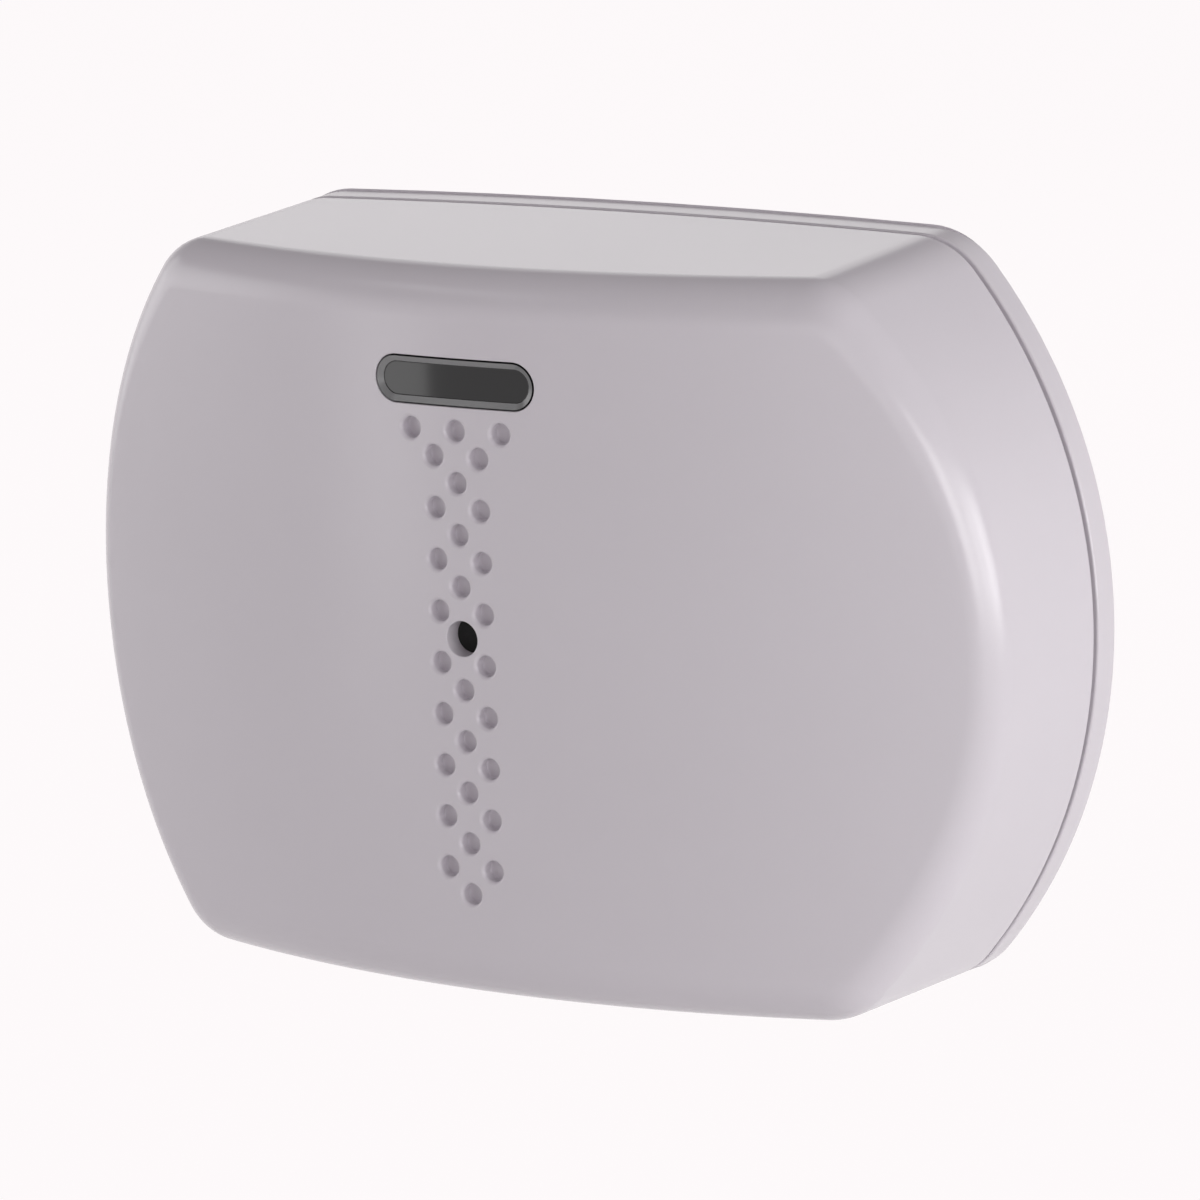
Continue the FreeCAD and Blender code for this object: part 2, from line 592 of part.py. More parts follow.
def bow(body, inset="0"):
    """Cuts the front to a cylinder about a vertical axis."""
    radius = f"(dims.crown_radius - {inset})"
    sketch = sketch_on(body, "bow_line", "XY_Plane")
    reach = f"(dims.width / 2 + {inset} + dims.wall)"
    centre_y = number("dims.crown_radius - dims.depth")
    size = number(radius)
    end_x = number(reach)
    end_y = centre_y - (size**2 - end_x**2) ** 0.5
    front_y = -number("dims.depth * 2")
    turn = angle_of(V(end_x, end_y - centre_y, 0))
    half_turn = FreeCAD.Units.Quantity("180 deg").getValueAs("rad").Value
    bowed = sketch.addGeometry(arc(V(0, centre_y, 0), size, -half_turn - turn, turn), False)
    corners = [V(end_x, end_y, 0), V(end_x, front_y, 0), V(-end_x, front_y, 0), V(-end_x, end_y, 0)]
    right, front, left = [
        sketch.addGeometry(Part.LineSegment(a, b), False) for a, b in zip(corners, corners[1:])
    ]
    for first, end, second, start in (
        (bowed, 2, right, 1),
        (right, 2, front, 1),
        (front, 2, left, 1),
        (left, 2, bowed, 1),
    ):
        sketch.addConstraint(Sketcher.Constraint("Coincident", first, end, second, start))
    sketch.addConstraint(Sketcher.Constraint("PointOnObject", bowed, 3, -2))
    sketch.addConstraint(Sketcher.Constraint("Vertical", right))
    sketch.addConstraint(Sketcher.Constraint("Vertical", left))
    sketch.addConstraint(Sketcher.Constraint("Horizontal", front))
    for kind, edge, end, value, name, expression in (
        ("DistanceY", bowed, 3, centre_y, "centre", "dims.crown_radius - dims.depth"),
        ("DistanceX", right, 1, end_x, "right", reach),
        ("DistanceX", left, 1, -end_x, "left", f"-{reach}"),
        ("DistanceY", front, 1, front_y, "front", "-dims.depth * 2"),
    ):
        bind(sketch, Sketcher.Constraint(kind, -1, 1, edge, end, value), name, expression)
    bind(sketch, Sketcher.Constraint("Radius", bowed, size), "radius", radius)
    feature = pocket(body, sketch, FAR, "bow")
    feature.SideType = "Symmetric"
    return feature


def round_front(body, base, inset="0"):
    """Rounds the edge between the bowed face and the walls."""
    doc.recompute()
    crown = number(f"dims.crown_radius - {inset}")
    bowed = [
        face
        for face in base.Shape.Faces
        if isinstance(face.Surface, Part.Cylinder) and abs(face.Surface.Radius - crown) < SAME
    ]
    rim = [edge for face in bowed for edge in face.Edges]
    names = edge_names(base.Shape, lambda edge: any(edge.isSame(item) for item in rim))
    return fillet(body, base, names, f"dims.edge_round - {inset}", "front_rounding")


def bowed_form(body, inset="0"):
    """The whole outer form, or the moulding core inside it."""
    drafted_walls(body, inset)
    base = bow(body, inset)
    return round_front(body, base, inset)


# Front cover


def front_cover():
    body = new_body("front_cover")
    bowed_form(body)
    cut_rear(body, SEAM_FRONT, "seam_edge")

    core = new_body("cavity_core")
    bowed_form(core, "dims.wall")
    cover_ribs(core)
    hollow = body.newObject("PartDesign::Boolean", "hollow")
    hollow.Type = "Cut"
    hollow.setObjects([core])
    body.Tip = hollow

    microphone_port(body)
    window_opening(body)
    dimples(body)
    tamper_post(body)
    cover_hooks(body)
    cover_screw_seat(body)
    return body


def cover_ribs(core):
    """Slots in the core that leave two upright ribs behind the face."""
    edge = "(dims.depth - dims.wall - dims.cover_rib_drop)"
    slots = face_sketch(core, "cover_rib_line", edge)
    for sign in ("-", ""):
        rectangle(slots, "dims.rib_thickness", "dims.cover_rib_length", f"{sign}dims.cover_rib_x")
    pocket(core, slots, THROUGH, "cover_rib_slots", forwards=True)


def microphone_port(body):
    """A collar that grips the rubber sleeve, a flat seat inside it, and the hole."""
    behind = "(dims.depth - dims.wall - dims.collar_reach)"
    ring = face_sketch(body, "collar_ring", behind, z="dims.mic_height")
    circle(ring, "dims.collar_radius")
    pad(body, ring, f"dims.depth - dims.wall / 2 - {behind}", "collar")
    bore = face_sketch(body, "collar_bore_line", MIC_SEAT, z="dims.mic_height")
    circle(bore, "dims.sleeve_radius + dims.collar_clearance")
    pocket(body, bore, "dims.collar_reach + dims.wall", "collar_bore")
    hole = face_sketch(body, "mic_hole_line", "dims.depth + dims.wall", z="dims.mic_height")
    circle(hole, "dims.mic_hole_radius")
    pocket(body, hole, THROUGH, "mic_hole")


def window_opening(body):
    """The slot in the face and the flat seat for the window's flange behind it."""
    seat = face_sketch(body, "window_seat_line", WINDOW_SEAT, z=WINDOW_Z)
    margin = "2 * (dims.window_flange + dims.window_gap)"
    stadium(seat, f"dims.window_length + {margin}", f"dims.window_height + {margin}")
    pocket(body, seat, THROUGH, "window_seat")
    slot = face_sketch(body, "window_slot_line", "dims.depth + dims.wall", z=WINDOW_Z)
    stadium(slot, "dims.window_length", "dims.window_height")
    pocket(body, slot, THROUGH, "window_slot")


def dimples(body):
    """A square grid set on its corner: single dimples, pairs between them, and two at the top."""
    dimple_grid(body, "dimple", "dims.dimple_radius", "dims.wall", "dims.dimple_depth")
    flared = "dims.dimple_radius + dims.dimple_flare"
    dimple_grid(body, "flare", flared, "0", "dims.dimple_flare", taper="-45 deg")


def dimple_grid(body, kind, radius, above, depth, taper="0 deg"):
    """Round cuts of one kind at all places of the grid, from a plane above the face."""
    start = f"dims.depth + {above}"
    length = f"{above} + {depth}"
    pitch = "2 * dims.dimple_pitch"
    single = face_sketch(body, f"centre_{kind}_line", start, z=ROW_TOP)
    circle(single, radius)
    pair = face_sketch(body, f"{kind}_pair_line", start, z=f"{ROW_TOP} - dims.dimple_pitch")
    wide = face_sketch(body, f"top_{kind}_line", start, z=ROW_TOP)
    for sign in ("-", ""):
        circle(pair, radius, f"{sign}dims.dimple_pitch")
        circle(wide, radius, f"{sign}2 * dims.dimple_pitch")
    for sketch, name, count in (
        (single, f"centre_{kind}", "dims.centre_rows"),
        (pair, f"{kind}_pair", "dims.pair_rows"),
        (wide, f"top_{kind}s", None),
    ):
        feature = pocket(body, sketch, length, name)
        feature.setExpression("TaperAngle", taper)
        if count:
            row_of(body, feature, sketch, pitch, count, f"{name}_rows", backwards=True)


def tamper_post(body):
    """The post inside the cover that holds the cover tamper plunger down."""
    tip = f"({BOARD_FRONT} + dims.cover_switch_body + dims.cover_switch_stem + dims.plunger_gap)"
    post = face_sketch(body, "tamper_post_line", tip, f"-{COVER_SWITCH_X}", COVER_SWITCH_Z)
    circle(post, "dims.post_tip_radius")
    root = crown_depth(COVER_SWITCH_X, "dims.wall / 2")
    pad(body, post, f"{root} - {tip}", "tamper_post")


def cover_hooks(body):
    """Two hooks on the top wall that catch in the base's tongue."""
    inner = "(dims.height / 2 - dims.wall - dims.hook_height)"
    hooks = sketch_on(body, "hook_line", "XY_Plane", offset=inner)
    for sign in ("-", ""):
        rectangle(hooks, "dims.hook_width", "dims.hook_thickness", f"{sign}dims.hook_spacing / 2",
                  "-dims.hook_depth - dims.hook_thickness / 2")
    pad(body, hooks, "dims.hook_height + dims.wall / 2", "hooks")


def cover_screw_seat(body):
    """A thickening in the bottom wall with a clearance hole and a recess for the screw head."""
    depth = "-dims.cover_screw_depth"
    inside = "-dims.height / 2 + dims.wall + dims.boss_pad"
    thick = sketch_on(body, "screw_pad_line", "XY_Plane", y=depth, offset=inside)
    circle(thick, "dims.boss_pad_radius")
    pad(body, thick, "dims.boss_pad + dims.wall / 2", "screw_pad", backwards=True)
    hole = sketch_on(body, "screw_clearance_line", "XY_Plane", y=depth, offset=inside)
    circle(hole, "dims.cover_screw_radius + dims.hook_clearance")
    pocket(body, hole, THROUGH, "screw_clearance")
    sink = sketch_on(body, "screw_sink_line", "XY_Plane", y=depth,
                     offset="-dims.height / 2 + dims.cover_screw_sink")
    circle(sink, "dims.cover_screw_head_radius + dims.hook_clearance")
    pocket(body, sink, THROUGH, "screw_sink")


# Rear base


def rear_base():
    body = new_body("rear_base")
    drafted_walls(body)
    band = cut_front(body, "dims.base_band", "band_edge")
    doc.recompute()
    rear = edge_names(band.Shape, lambda edge: abs(edge.BoundBox.YMin) < SAME)
    fillet(body, band, rear, "dims.base_edge_round", "rear_edge")
    tongue(body)
    base_posts(body)
    wall_screw_holes(body)
    rear_relief(body)
    break_away_segment(body)
    hook_windows(body)
    return body


def tongue(body):
    """The upright rim that the cover slides over, and the hollow inside it with its floor ribs."""
    outer = new_body("tongue_form")
    drafted_walls(outer, TONGUE_INSET)
    cut_front(outer, "dims.tongue_reach", "tongue_edge")
    merge = body.newObject("PartDesign::Boolean", "tongue")
    merge.Type = "Fuse"
    merge.setObjects([outer])
    body.Tip = merge
    inner = new_body("tongue_hollow")
    drafted_walls(inner, f"({TONGUE_INSET} + dims.tongue_wall)", FLOOR)
    ribs = face_sketch(inner, "rib_line", f"{FLOOR} + dims.rib_height")
    for sign in ("-", ""):
        rectangle(ribs, "dims.rib_thickness", FAR, f"{sign}{POST_X}")
    pocket(inner, ribs, "dims.rib_height", "upright_rib_slots")
    level_ribs = face_sketch(inner, "level_rib_line", f"{FLOOR} + dims.rib_height")
    for sign in ("-", ""):
        rectangle(level_ribs, FAR, "dims.rib_thickness", "0", f"{sign}{POST_Z}")
    pocket(inner, level_ribs, "dims.rib_height", "level_rib_slots")
    empty = body.newObject("PartDesign::Boolean", "floor_hollow")
    empty.Type = "Cut"
    empty.setObjects([inner])
    body.Tip = empty


def base_posts(body):
    """Four board posts and the boss of the cover screw."""
    posts = face_sketch(body, "post_line", FLOOR)
    pilots = face_sketch(body, "pilot_line", BOARD_REAR)
    for side in ("-", ""):
        for level in ("-", ""):
            x = f"{side}{POST_X}"
            z = f"{level}{POST_Z}"
            circle(posts, "dims.post_radius", x, z)
            circle(pilots, "dims.pilot_radius", x, z)
    pad(body, posts, "dims.post_height", "posts")
    pocket(body, pilots, "dims.post_height + dims.base_floor / 2", "pilots")

    bottom = "(-dims.height / 2 + dims.wall + dims.boss_pad + dims.boss_gap)"
    boss = face_sketch(body, "boss_line", FLOOR)
    rectangle(boss, "dims.boss_width", "dims.boss_height", "0", f"{bottom} + dims.boss_height / 2")
    pad(body, boss, f"dims.boss_reach - {FLOOR}", "boss")
    pilot = sketch_on(body, "boss_pilot_line", "XY_Plane", y="-dims.cover_screw_depth",
                      offset=f"{bottom} + dims.boss_height")
    circle(pilot, "dims.cover_screw_radius + dims.plunger_clearance")
    pocket(body, pilot, "dims.boss_height + dims.boss_gap", "boss_pilot")


def wall_screw_holes(body):
    """Two countersunk holes for the wall screws, each in its own low boss."""
    bosses = face_sketch(body, "wall_boss_line", FLOOR)
    holes = face_sketch(body, "wall_hole_line", f"{FLOOR} + dims.wall_hole_height")
    for side in ("-", ""):
        x = f"{side}{WALL_HOLE_X}"
        circle(bosses, "dims.wall_hole_boss", x)
        circle(holes, "dims.wall_hole_radius", x)
    pad(body, bosses, "dims.wall_hole_height", "wall_bosses")
    drilled = pocket(body, holes, THROUGH, "wall_holes")
    doc.recompute()
    mouth = -number(f"{FLOOR} + dims.wall_hole_height")
    radius = number("dims.wall_hole_radius")
    names = edge_names(
        drilled.Shape,
        lambda edge: abs(edge.BoundBox.YMax - mouth) < SAME
        and abs(edge.BoundBox.YMin - mouth) < SAME
        and isinstance(edge.Curve, Part.Circle)
        and abs(edge.Curve.Radius - radius) < SAME,
    )
    sink = body.newObject("PartDesign::Chamfer", "countersinks")
    sink.Base = (drilled, names)
    sink.setExpression("Size", "dims.wall_hole_sink")
    body.Tip = sink


def rear_relief(body):
    """A shallow relief, so that only a rim and the screw islands bear on the wall."""
    relief = face_sketch(body, "relief_line", "0")
    outline(relief, "", "dims.rear_rim")
    for side in ("-", ""):
        circle(relief, "dims.wall_hole_boss", f"{side}{WALL_HOLE_X}")
    circle(relief, "dims.wall_hole_boss", "-dims.tamper_x", "-dims.tamper_z")
    pocket(body, relief, "dims.rear_relief", "relief", forwards=True)


def break_away_segment(body):
    """The segment that its own wall screw holds back when the base is pried off."""
    x = "-dims.tamper_x"
    z = "-dims.tamper_z"
    cuts = face_sketch(body, "segment_cut_line", FLOOR)
    half_width = "(dims.tamper_width / 2)"
    half_height = "(dims.tamper_height / 2)"
    gap = "dims.tamper_cut"
    for sign in ("-", ""):
        rectangle(cuts, f"{half_width} * 2 - dims.tamper_web", gap,
                  x, f"{z} {sign or '+'} {half_height}")
        rectangle(cuts, gap, f"{half_height} * 2 - dims.tamper_web",
                  f"{x} {sign or '+'} {half_width}", z)
    pocket(body, cuts, THROUGH, "segment_cuts")
    hole = face_sketch(body, "segment_hole_line", FLOOR, x, z)
    circle(hole, "dims.wall_hole_radius")
    pocket(body, hole, THROUGH, "segment_hole")


def hook_windows(body):
    """Windows through the tongue for the cover's hooks."""
    low = "(dims.height / 2 - dims.wall - dims.tongue_wall * 2)"
    windows = sketch_on(body, "hook_window_line", "XY_Plane", offset=low)
    size = "dims.hook_width + 2 * dims.hook_clearance"
    thickness = "dims.hook_thickness + 2 * dims.hook_clearance"
    for sign in ("-", ""):
        rectangle(windows, size, thickness, f"{sign}dims.hook_spacing / 2",
                  "-dims.hook_depth - dims.hook_thickness / 2")
    pocket(body, windows, THROUGH, "hook_windows", forwards=True)


# Window and lights


def indicator_window():
    """A smoked window: a plug with the face's bow, dished inside an inward bevel, on a flange."""
    plug = new_body("window_plug")
    clear = "2 * dims.window_gap"
    length = f"(dims.window_length - {clear})"
    height = f"(dims.window_height - {clear})"
    flange = face_sketch(plug, "flange_line", WINDOW_BACK, z=WINDOW_Z)
    margin = "2 * dims.window_flange"
    stadium(flange, f"dims.window_length + {margin}", f"dims.window_height + {margin}")
    pad(plug, flange, "dims.window_flange_thickness", "flange")
    front = face_sketch(plug, "plug_line", WINDOW_SEAT, z=WINDOW_Z)
    stadium(front, length, height)
    pad(plug, front, "dims.window_seat + dims.wall", "plug")

    face = bow_cylinder("window_bow", "0")
    bowed = doc.addObject("Part::Common", "bowed_window")
    bowed.Base = plug
    bowed.Tool = face

    dish = new_body("dish_form")
    inside = face_sketch(dish, "dish_line", WINDOW_SEAT, z=WINDOW_Z)
    stadium(inside, f"{length} - 2 * dims.bevel_width", f"{height} - 2 * dims.bevel_width")
    pad(dish, inside, "dims.window_seat + dims.wall", "dish_pad")
    sunk = cut("sunk_face", dish, bow_cylinder("dish_bow", "dims.dish_depth"))
    dished = cut("dished_window", bowed, sunk)
    doc.recompute()
    bevel = doc.addObject("Part::Chamfer", "indicator_window")
    bevel.Base = dished
    inner = inner_rim(dished.Shape, number("dims.crown_radius"), number(height))
    width = number("dims.bevel_width - dims.bevel_land")
    depth = number("dims.bevel_depth")
    bevel.Edges = [(index, width, depth) for index in inner]
    return bevel


def bow_cylinder(name, inset):
    """A tall cylinder on the axis of the bowed face."""
    item = doc.addObject("Part::Cylinder", name)
    item.setExpression("Radius", f"dims.crown_radius - {inset}")
    item.setExpression("Height", "dims.height")
    item.setExpression("Placement.Base.y", "dims.crown_radius - dims.depth")
    return item


def inner_rim(shape, crown, height):
    """Numbers of the edges of the bowed face that go round the dish."""
    found = []
    for face in shape.Faces:
        if isinstance(face.Surface, Part.Cylinder) and abs(face.Surface.Radius - crown) < SAME:
            wires = sorted(face.Wires, key=lambda wire: wire.BoundBox.DiagonalLength)
            if len(wires) > 1 and wires[0].BoundBox.ZLength < height:
                found = wires[0].Edges
    return [
        index
        for index, edge in enumerate(shape.Edges, start=1)
        if any(edge.isSame(item) for item in found)
    ]


def light_guide():
    """A clear plate behind the window on two round legs that end above the status lights."""
    body = new_body("light_guide")
    top = f"({BOARD_FRONT} + dims.light_thickness + dims.light_dome + dims.light_gap)"
    legs = face_sketch(body, "leg_line", top, z=WINDOW_Z)
    for sign in ("-", ""):
        circle(legs, "dims.guide_leg_radius", f"{sign}dims.light_spacing / 2")
    pad(body, legs, f"{WINDOW_BACK} - dims.guide_plate / 2 - {top}", "legs")
    plate = face_sketch(body, "plate_line", f"{WINDOW_BACK} - dims.guide_plate", z=WINDOW_Z)
    stadium(plate, "dims.guide_plate_length", "dims.guide_plate_height")
    pad(body, plate, "dims.guide_plate", "plate")
    return body


def status_light(name, sign):
    x = f"{sign}dims.light_spacing / 2"
    housing = board_block(f"{name}_housing", "dims.light_width", "dims.light_length",
                          "dims.light_thickness", x, WINDOW_Z)
    dome = rod(f"{name}_dome", "dims.light_dome_radius", "dims.light_dome",
               x, WINDOW_Z, f"{BOARD_FRONT} + dims.light_thickness")
    return joined(name, [housing, dome])


# Microphone


def revolved(name, profile, x="0", z="0"):
    """A turned piece about a line towards the front; the profile is (radius, depth) pairs."""
    body = new_body(name)
    sketch = sketch_on(body, f"{name}_profile", "XY_Plane", x=x, offset=z)
    loop(sketch, [(radius, f"-({depth})") for radius, depth in profile])
    turn = body.newObject("PartDesign::Revolution", f"{name}_turned")
    turn.Profile = sketch
    turn.ReferenceAxis = (sketch, ["V_Axis"])
    body.Tip = turn
    return body


def microphone_sleeve():
    """The rubber sleeve from the board to the face, with a pocket for the capsule."""
    pocket_radius = "dims.capsule_radius + dims.capsule_clearance"
    top = f"{BOARD_FRONT} + dims.capsule_height"
    shoulder = f"{BOARD_FRONT} + dims.sleeve_foot"
    taper = f"{shoulder} + dims.sleeve_foot_radius - dims.sleeve_radius"
    return revolved("microphone_sleeve", [
        (pocket_radius, BOARD_FRONT),
        ("dims.sleeve_foot_radius", BOARD_FRONT),
        ("dims.sleeve_foot_radius", shoulder),
        ("dims.sleeve_radius", taper),
        ("dims.sleeve_radius", SLEEVE_FRONT),
        ("dims.sleeve_bore", SLEEVE_FRONT),
        ("dims.sleeve_bore", top),
        (pocket_radius, top),
    ], z="dims.mic_height")


def microphone_capsule():
    """The metal can of the microphone with its small port."""
    top = f"{BOARD_FRONT} + dims.capsule_height"
    return revolved("microphone_capsule", [
        ("0", BOARD_FRONT),
        ("dims.capsule_radius", BOARD_FRONT),
        ("dims.capsule_radius", top),
        ("dims.capsule_port_radius", top),
        ("dims.capsule_port_radius", f"{top} - dims.capsule_port_depth"),
        ("0", f"{top} - dims.capsule_port_depth"),
    ], z="dims.mic_height")


def port_mesh():
    return rod("port_mesh", "dims.mesh_radius", "dims.mesh_thickness", "0",
               "dims.mic_height", SLEEVE_FRONT)


# Circuit board and what is soldered to it


def circuit_board():
    body = new_body("circuit_board")
    sheet_line = face_sketch(body, "board_line", BOARD_REAR)
    half = f"{BOARD_WIDTH} / 2"
    low = f"-{BOARD_HEIGHT} / 2"
    high = f"{BOARD_HEIGHT} / 2"
    notch = "dims.notch_width / 2"
    shelf = f"{low} + dims.notch_height"
    loop(sheet_line, [
        (f"-{half}", low), (f"-{notch}", low), (f"-{notch}", shelf), (notch, shelf),
        (notch, low), (half, low), (half, high), (f"-{half}", high),
    ])
    plate = pad(body, sheet_line, "dims.board_thickness", "board")
    doc.recompute()
    edge_x = number(half)
    corners = edge_names(
        plate.Shape,
        lambda edge: abs(abs(edge.CenterOfMass.x) - edge_x) < SAME
        and edge.BoundBox.YLength > SAME
        and edge.BoundBox.ZLength < SAME,
    )
    fillet(body, plate, corners, "dims.board_corner", "corners")
    holes = face_sketch(body, "board_hole_line", BOARD_FRONT)
    for side in ("-", ""):
        for level in ("-", ""):
            circle(holes, "dims.board_hole_radius", f"{side}{POST_X}", f"{level}{POST_Z}")
    pocket(body, holes, "dims.board_thickness", "board_holes")
    return body


def leaded_chip(name, x, z, length, width, pins):
    """A chip package with a row of bent pins along its upper and lower edges."""
    body = new_body(name)
    package = face_sketch(body, f"{name}_package_line", f"{BOARD_FRONT} + dims.chip_standoff", x, z)
    rectangle(package, length, width)
    pad(body, package, "dims.chip_thickness", f"{name}_package")
    middle = f"({BOARD_FRONT} + dims.chip_standoff + dims.chip_thickness / 2)"
    start = f"(({pins} - 1) * dims.pin_pitch / 2)"
    profile = sketch_on(body, f"{name}_pin_line", "YZ_Plane", y=z,
                        offset=f"{x} - {start} - dims.pin_width / 2")
    edge = f"({width}) / 2"
    out = f"{edge} + dims.pin_reach"
    knee = f"{edge} + dims.pin_reach / 2"
    foot = f"-{BOARD_FRONT}"
    thick = "dims.pin_thickness"
    for sign in ("", "-"):
        loop(profile, [
            (f"-{middle}", f"{sign}({edge} - {thick})"),
            (f"-{middle}", f"{sign}({knee})"),
            (f"{foot} - {thick}", f"{sign}({knee})"),
            (f"{foot} - {thick}", f"{sign}({out})"),
            (foot, f"{sign}({out})"),
            (foot, f"{sign}({knee} - {thick})"),
            (f"-{middle} + {thick}", f"{sign}({knee} - {thick})"),
            (f"-{middle} + {thick}", f"{sign}({edge} - {thick})"),
        ])
    pair = pad(body, profile, "dims.pin_width", f"{name}_pins")
    row_of(body, pair, profile, "dims.pin_pitch", pins, f"{name}_pin_rows", axis="N_Axis")
    return body


def radio_module():
    return board_block("radio_module", "dims.radio_width", "dims.radio_height", "dims.radio_board",
                       f"-{RADIO_X}", RADIO_Z)


def radio_shield_can():
    """A thin folded can, open towards the module."""
    base = f"({BOARD_FRONT} + dims.radio_board)"
    width = "(dims.radio_width - 2 * dims.can_inset)"
    height = "(dims.radio_height - 2 * dims.can_inset)"
    outer = board_block("can_outer", width, height, "dims.can_height",
                        f"-{RADIO_X}", RADIO_Z, base)
    inner = board_block("can_inner", f"{width} - 2 * dims.can_sheet", f"{height} - 2 * dims.can_sheet",
                        "dims.can_height - dims.can_sheet", f"-{RADIO_X}", RADIO_Z, base)
    return cut("radio_shield_can", outer, inner)


def antenna():
    """A spring of wire along the board's upper part, its axis along X."""
    depth = f"({BOARD_FRONT} + dims.antenna_rise + dims.antenna_radius + dims.antenna_wire)"
    below_guide = (
        f"{WINDOW_Z} - dims.guide_plate_height / 2 - dims.antenna_clearance"
        " - dims.antenna_radius - dims.antenna_wire"
    )
    level = f"min({BOARD_HEIGHT} / 2 - dims.antenna_drop; {below_guide})"
    spine = doc.addObject("Part::Helix", "antenna_spine")
    spine.setExpression("Radius", "dims.antenna_radius")
    spine.setExpression("Pitch", "dims.antenna_pitch")
    spine.setExpression("Height", "dims.antenna_pitch * dims.antenna_turns")
    turned = FreeCAD.Rotation(V(0, 1, 0), 90)
    spine.Placement = FreeCAD.Placement(V(0, 0, 0), turned)
    place_at(spine, "-dims.antenna_x", f"-{depth}", level)
    section = doc.addObject("Part::Circle", "antenna_section")
    section.setExpression("Radius", "dims.antenna_wire")
    across = turned.multiply(FreeCAD.Rotation(V(1, 0, 0), 90))
    section.Placement = FreeCAD.Placement(V(0, 0, 0), across)
    place_at(section, "-dims.antenna_x", f"-{depth}", f"{level} - dims.antenna_radius")
    coil = doc.addObject("Part::Sweep", "antenna")
    coil.Sections = [section]
    doc.recompute()
    coil.Spine = (spine, ["Edge1"])
    coil.Solid = True
    coil.Frenet = True
    return coil


def place_at(item, x, y, z):
    for key, expression in (("x", x), ("y", y), ("z", z)):
        item.setExpression(f"Placement.Base.{key}", str(expression))


def timing_crystal():
    """A flat metal can with round ends."""
    body = new_body("timing_crystal")
    line = face_sketch(body, "crystal_line", BOARD_FRONT, "-dims.crystal_x", "-dims.crystal_z")
    stadium(line, "dims.crystal_length", "dims.crystal_width")
    pad(body, line, "dims.crystal_height", "crystal_can")
    return body


def reservoir_capacitor():
    """An upright round can with a crimp above its square moulded base."""
    x = "dims.capacitor_x"
    z = "-dims.capacitor_z"
    radius = "dims.capacitor_radius"
    side = "dims.capacitor_base_side"
    base = board_block("capacitor_base_block", side, side, "dims.capacitor_base", x, z)
    foot = f"{BOARD_FRONT} + dims.capacitor_base"
    crimp = f"{foot} + dims.capacitor_base"
    can = revolved("capacitor_can", [
        ("0", foot),
        (radius, foot),
        (radius, crimp),
        (f"{radius} - dims.capacitor_crimp", f"{crimp} + dims.capacitor_base / 3"),
        (radius, f"{crimp} + dims.capacitor_base * 2 / 3"),
        (radius, f"{BOARD_FRONT} + dims.capacitor_height"),
        ("0", f"{BOARD_FRONT} + dims.capacitor_height"),
    ], x, z)
    return joined("reservoir_capacitor", [base, can])


def service_header():
    """A row of square pins in a moulded strip."""
    count = int(number("dims.header_pins"))
    length = "dims.header_pins * dims.header_pitch"
    strip = board_block("header_strip", length, "dims.header_pitch", "dims.header_pitch",
                        "-dims.header_x", "-dims.header_z")
    pins = []
    for index in range(count):
        x = f"-dims.header_x + ({index} - (dims.header_pins - 1) / 2) * dims.header_pitch"
        pins.append(board_block(f"header_pin_{index + 1}", "dims.header_pin", "dims.header_pin",
                                "dims.header_pin_length", x, "-dims.header_z"))
    return joined("service_header", [strip] + pins)


def small_parts(name, places):
    """Surface-mounted parts of one kind, at (x, z) places on the board."""
    blocks = []
    for index, (x, z) in enumerate(places, start=1):
        blocks.append(board_block(f"{name}_{index}", "dims.chip_part_length", "dims.chip_part_width",
                                  "dims.chip_part_height", x, z))
    return group(name, blocks)


# Switches and the plungers that travel in them


def switch_housing(name, x, z, height, depth, front=True):
    """A square housing with a blind bore for its plunger; front tells which way it faces."""
    body = new_body(name)
    block = face_sketch(body, f"{name}_block_line", depth, x, z)
    rectangle(block, "dims.switch_size", "dims.switch_size")
    pad(body, block, height, f"{name}_block", backwards=not front)
    mouth = f"({depth}) + ({height})" if front else f"({depth}) - ({height})"
    bore = face_sketch(body, f"{name}_bore_line", mouth, x, z)
    circle(bore, "dims.plunger_radius + dims.plunger_clearance")
    pocket(body, bore, f"({height}) - dims.switch_floor", f"{name}_bore", forwards=not front)
    return body


def plunger(name, x, z, height, stem, depth, front=True):
    """A round plunger that ends a little above its housing's blind bore."""
    sunk = f"(({height}) - dims.switch_floor - dims.plunger_travel - dims.plunger_stop)"
    length = f"{sunk} + ({stem})"
    if front:
        return rod(name, "dims.plunger_radius", length, x, z, f"({depth}) + ({height}) - {sunk}")
    return rod(name, "dims.plunger_radius", length, x, z, f"({depth}) - ({height}) - ({stem})")


def enrol_parts():
    where = (f"-({BOARD_WIDTH} / 2 - dims.enrol_inset)", "-dims.enrol_z", "dims.enrol_body")
    return [
        switch_housing("enrol_switch", *where, BOARD_FRONT),
        plunger("enrol_button", *where, "dims.enrol_stem", BOARD_FRONT),
    ]


def cover_tamper_parts():
    where = (f"-{COVER_SWITCH_X}", COVER_SWITCH_Z, "dims.cover_switch_body")
    return [
        switch_housing("cover_tamper_switch", *where, BOARD_FRONT),
        plunger("cover_tamper_plunger", *where, "dims.cover_switch_stem", BOARD_FRONT),
    ]


def wall_tamper_parts():
    """The switch on the board's rear side that feels the break-away segment."""
    x = "-dims.tamper_x + dims.tamper_width / 4"
    z = "-dims.tamper_z + dims.tamper_height / 4"
    stem = f"({BOARD_REAR} - {FLOOR} - dims.wall_switch_body - dims.plunger_gap)"
    where = (x, z, "dims.wall_switch_body")
    return [
        switch_housing("wall_tamper_switch", *where, BOARD_REAR, front=False),
        plunger("wall_tamper_plunger", *where, stem, BOARD_REAR, front=False),
    ]


# Battery


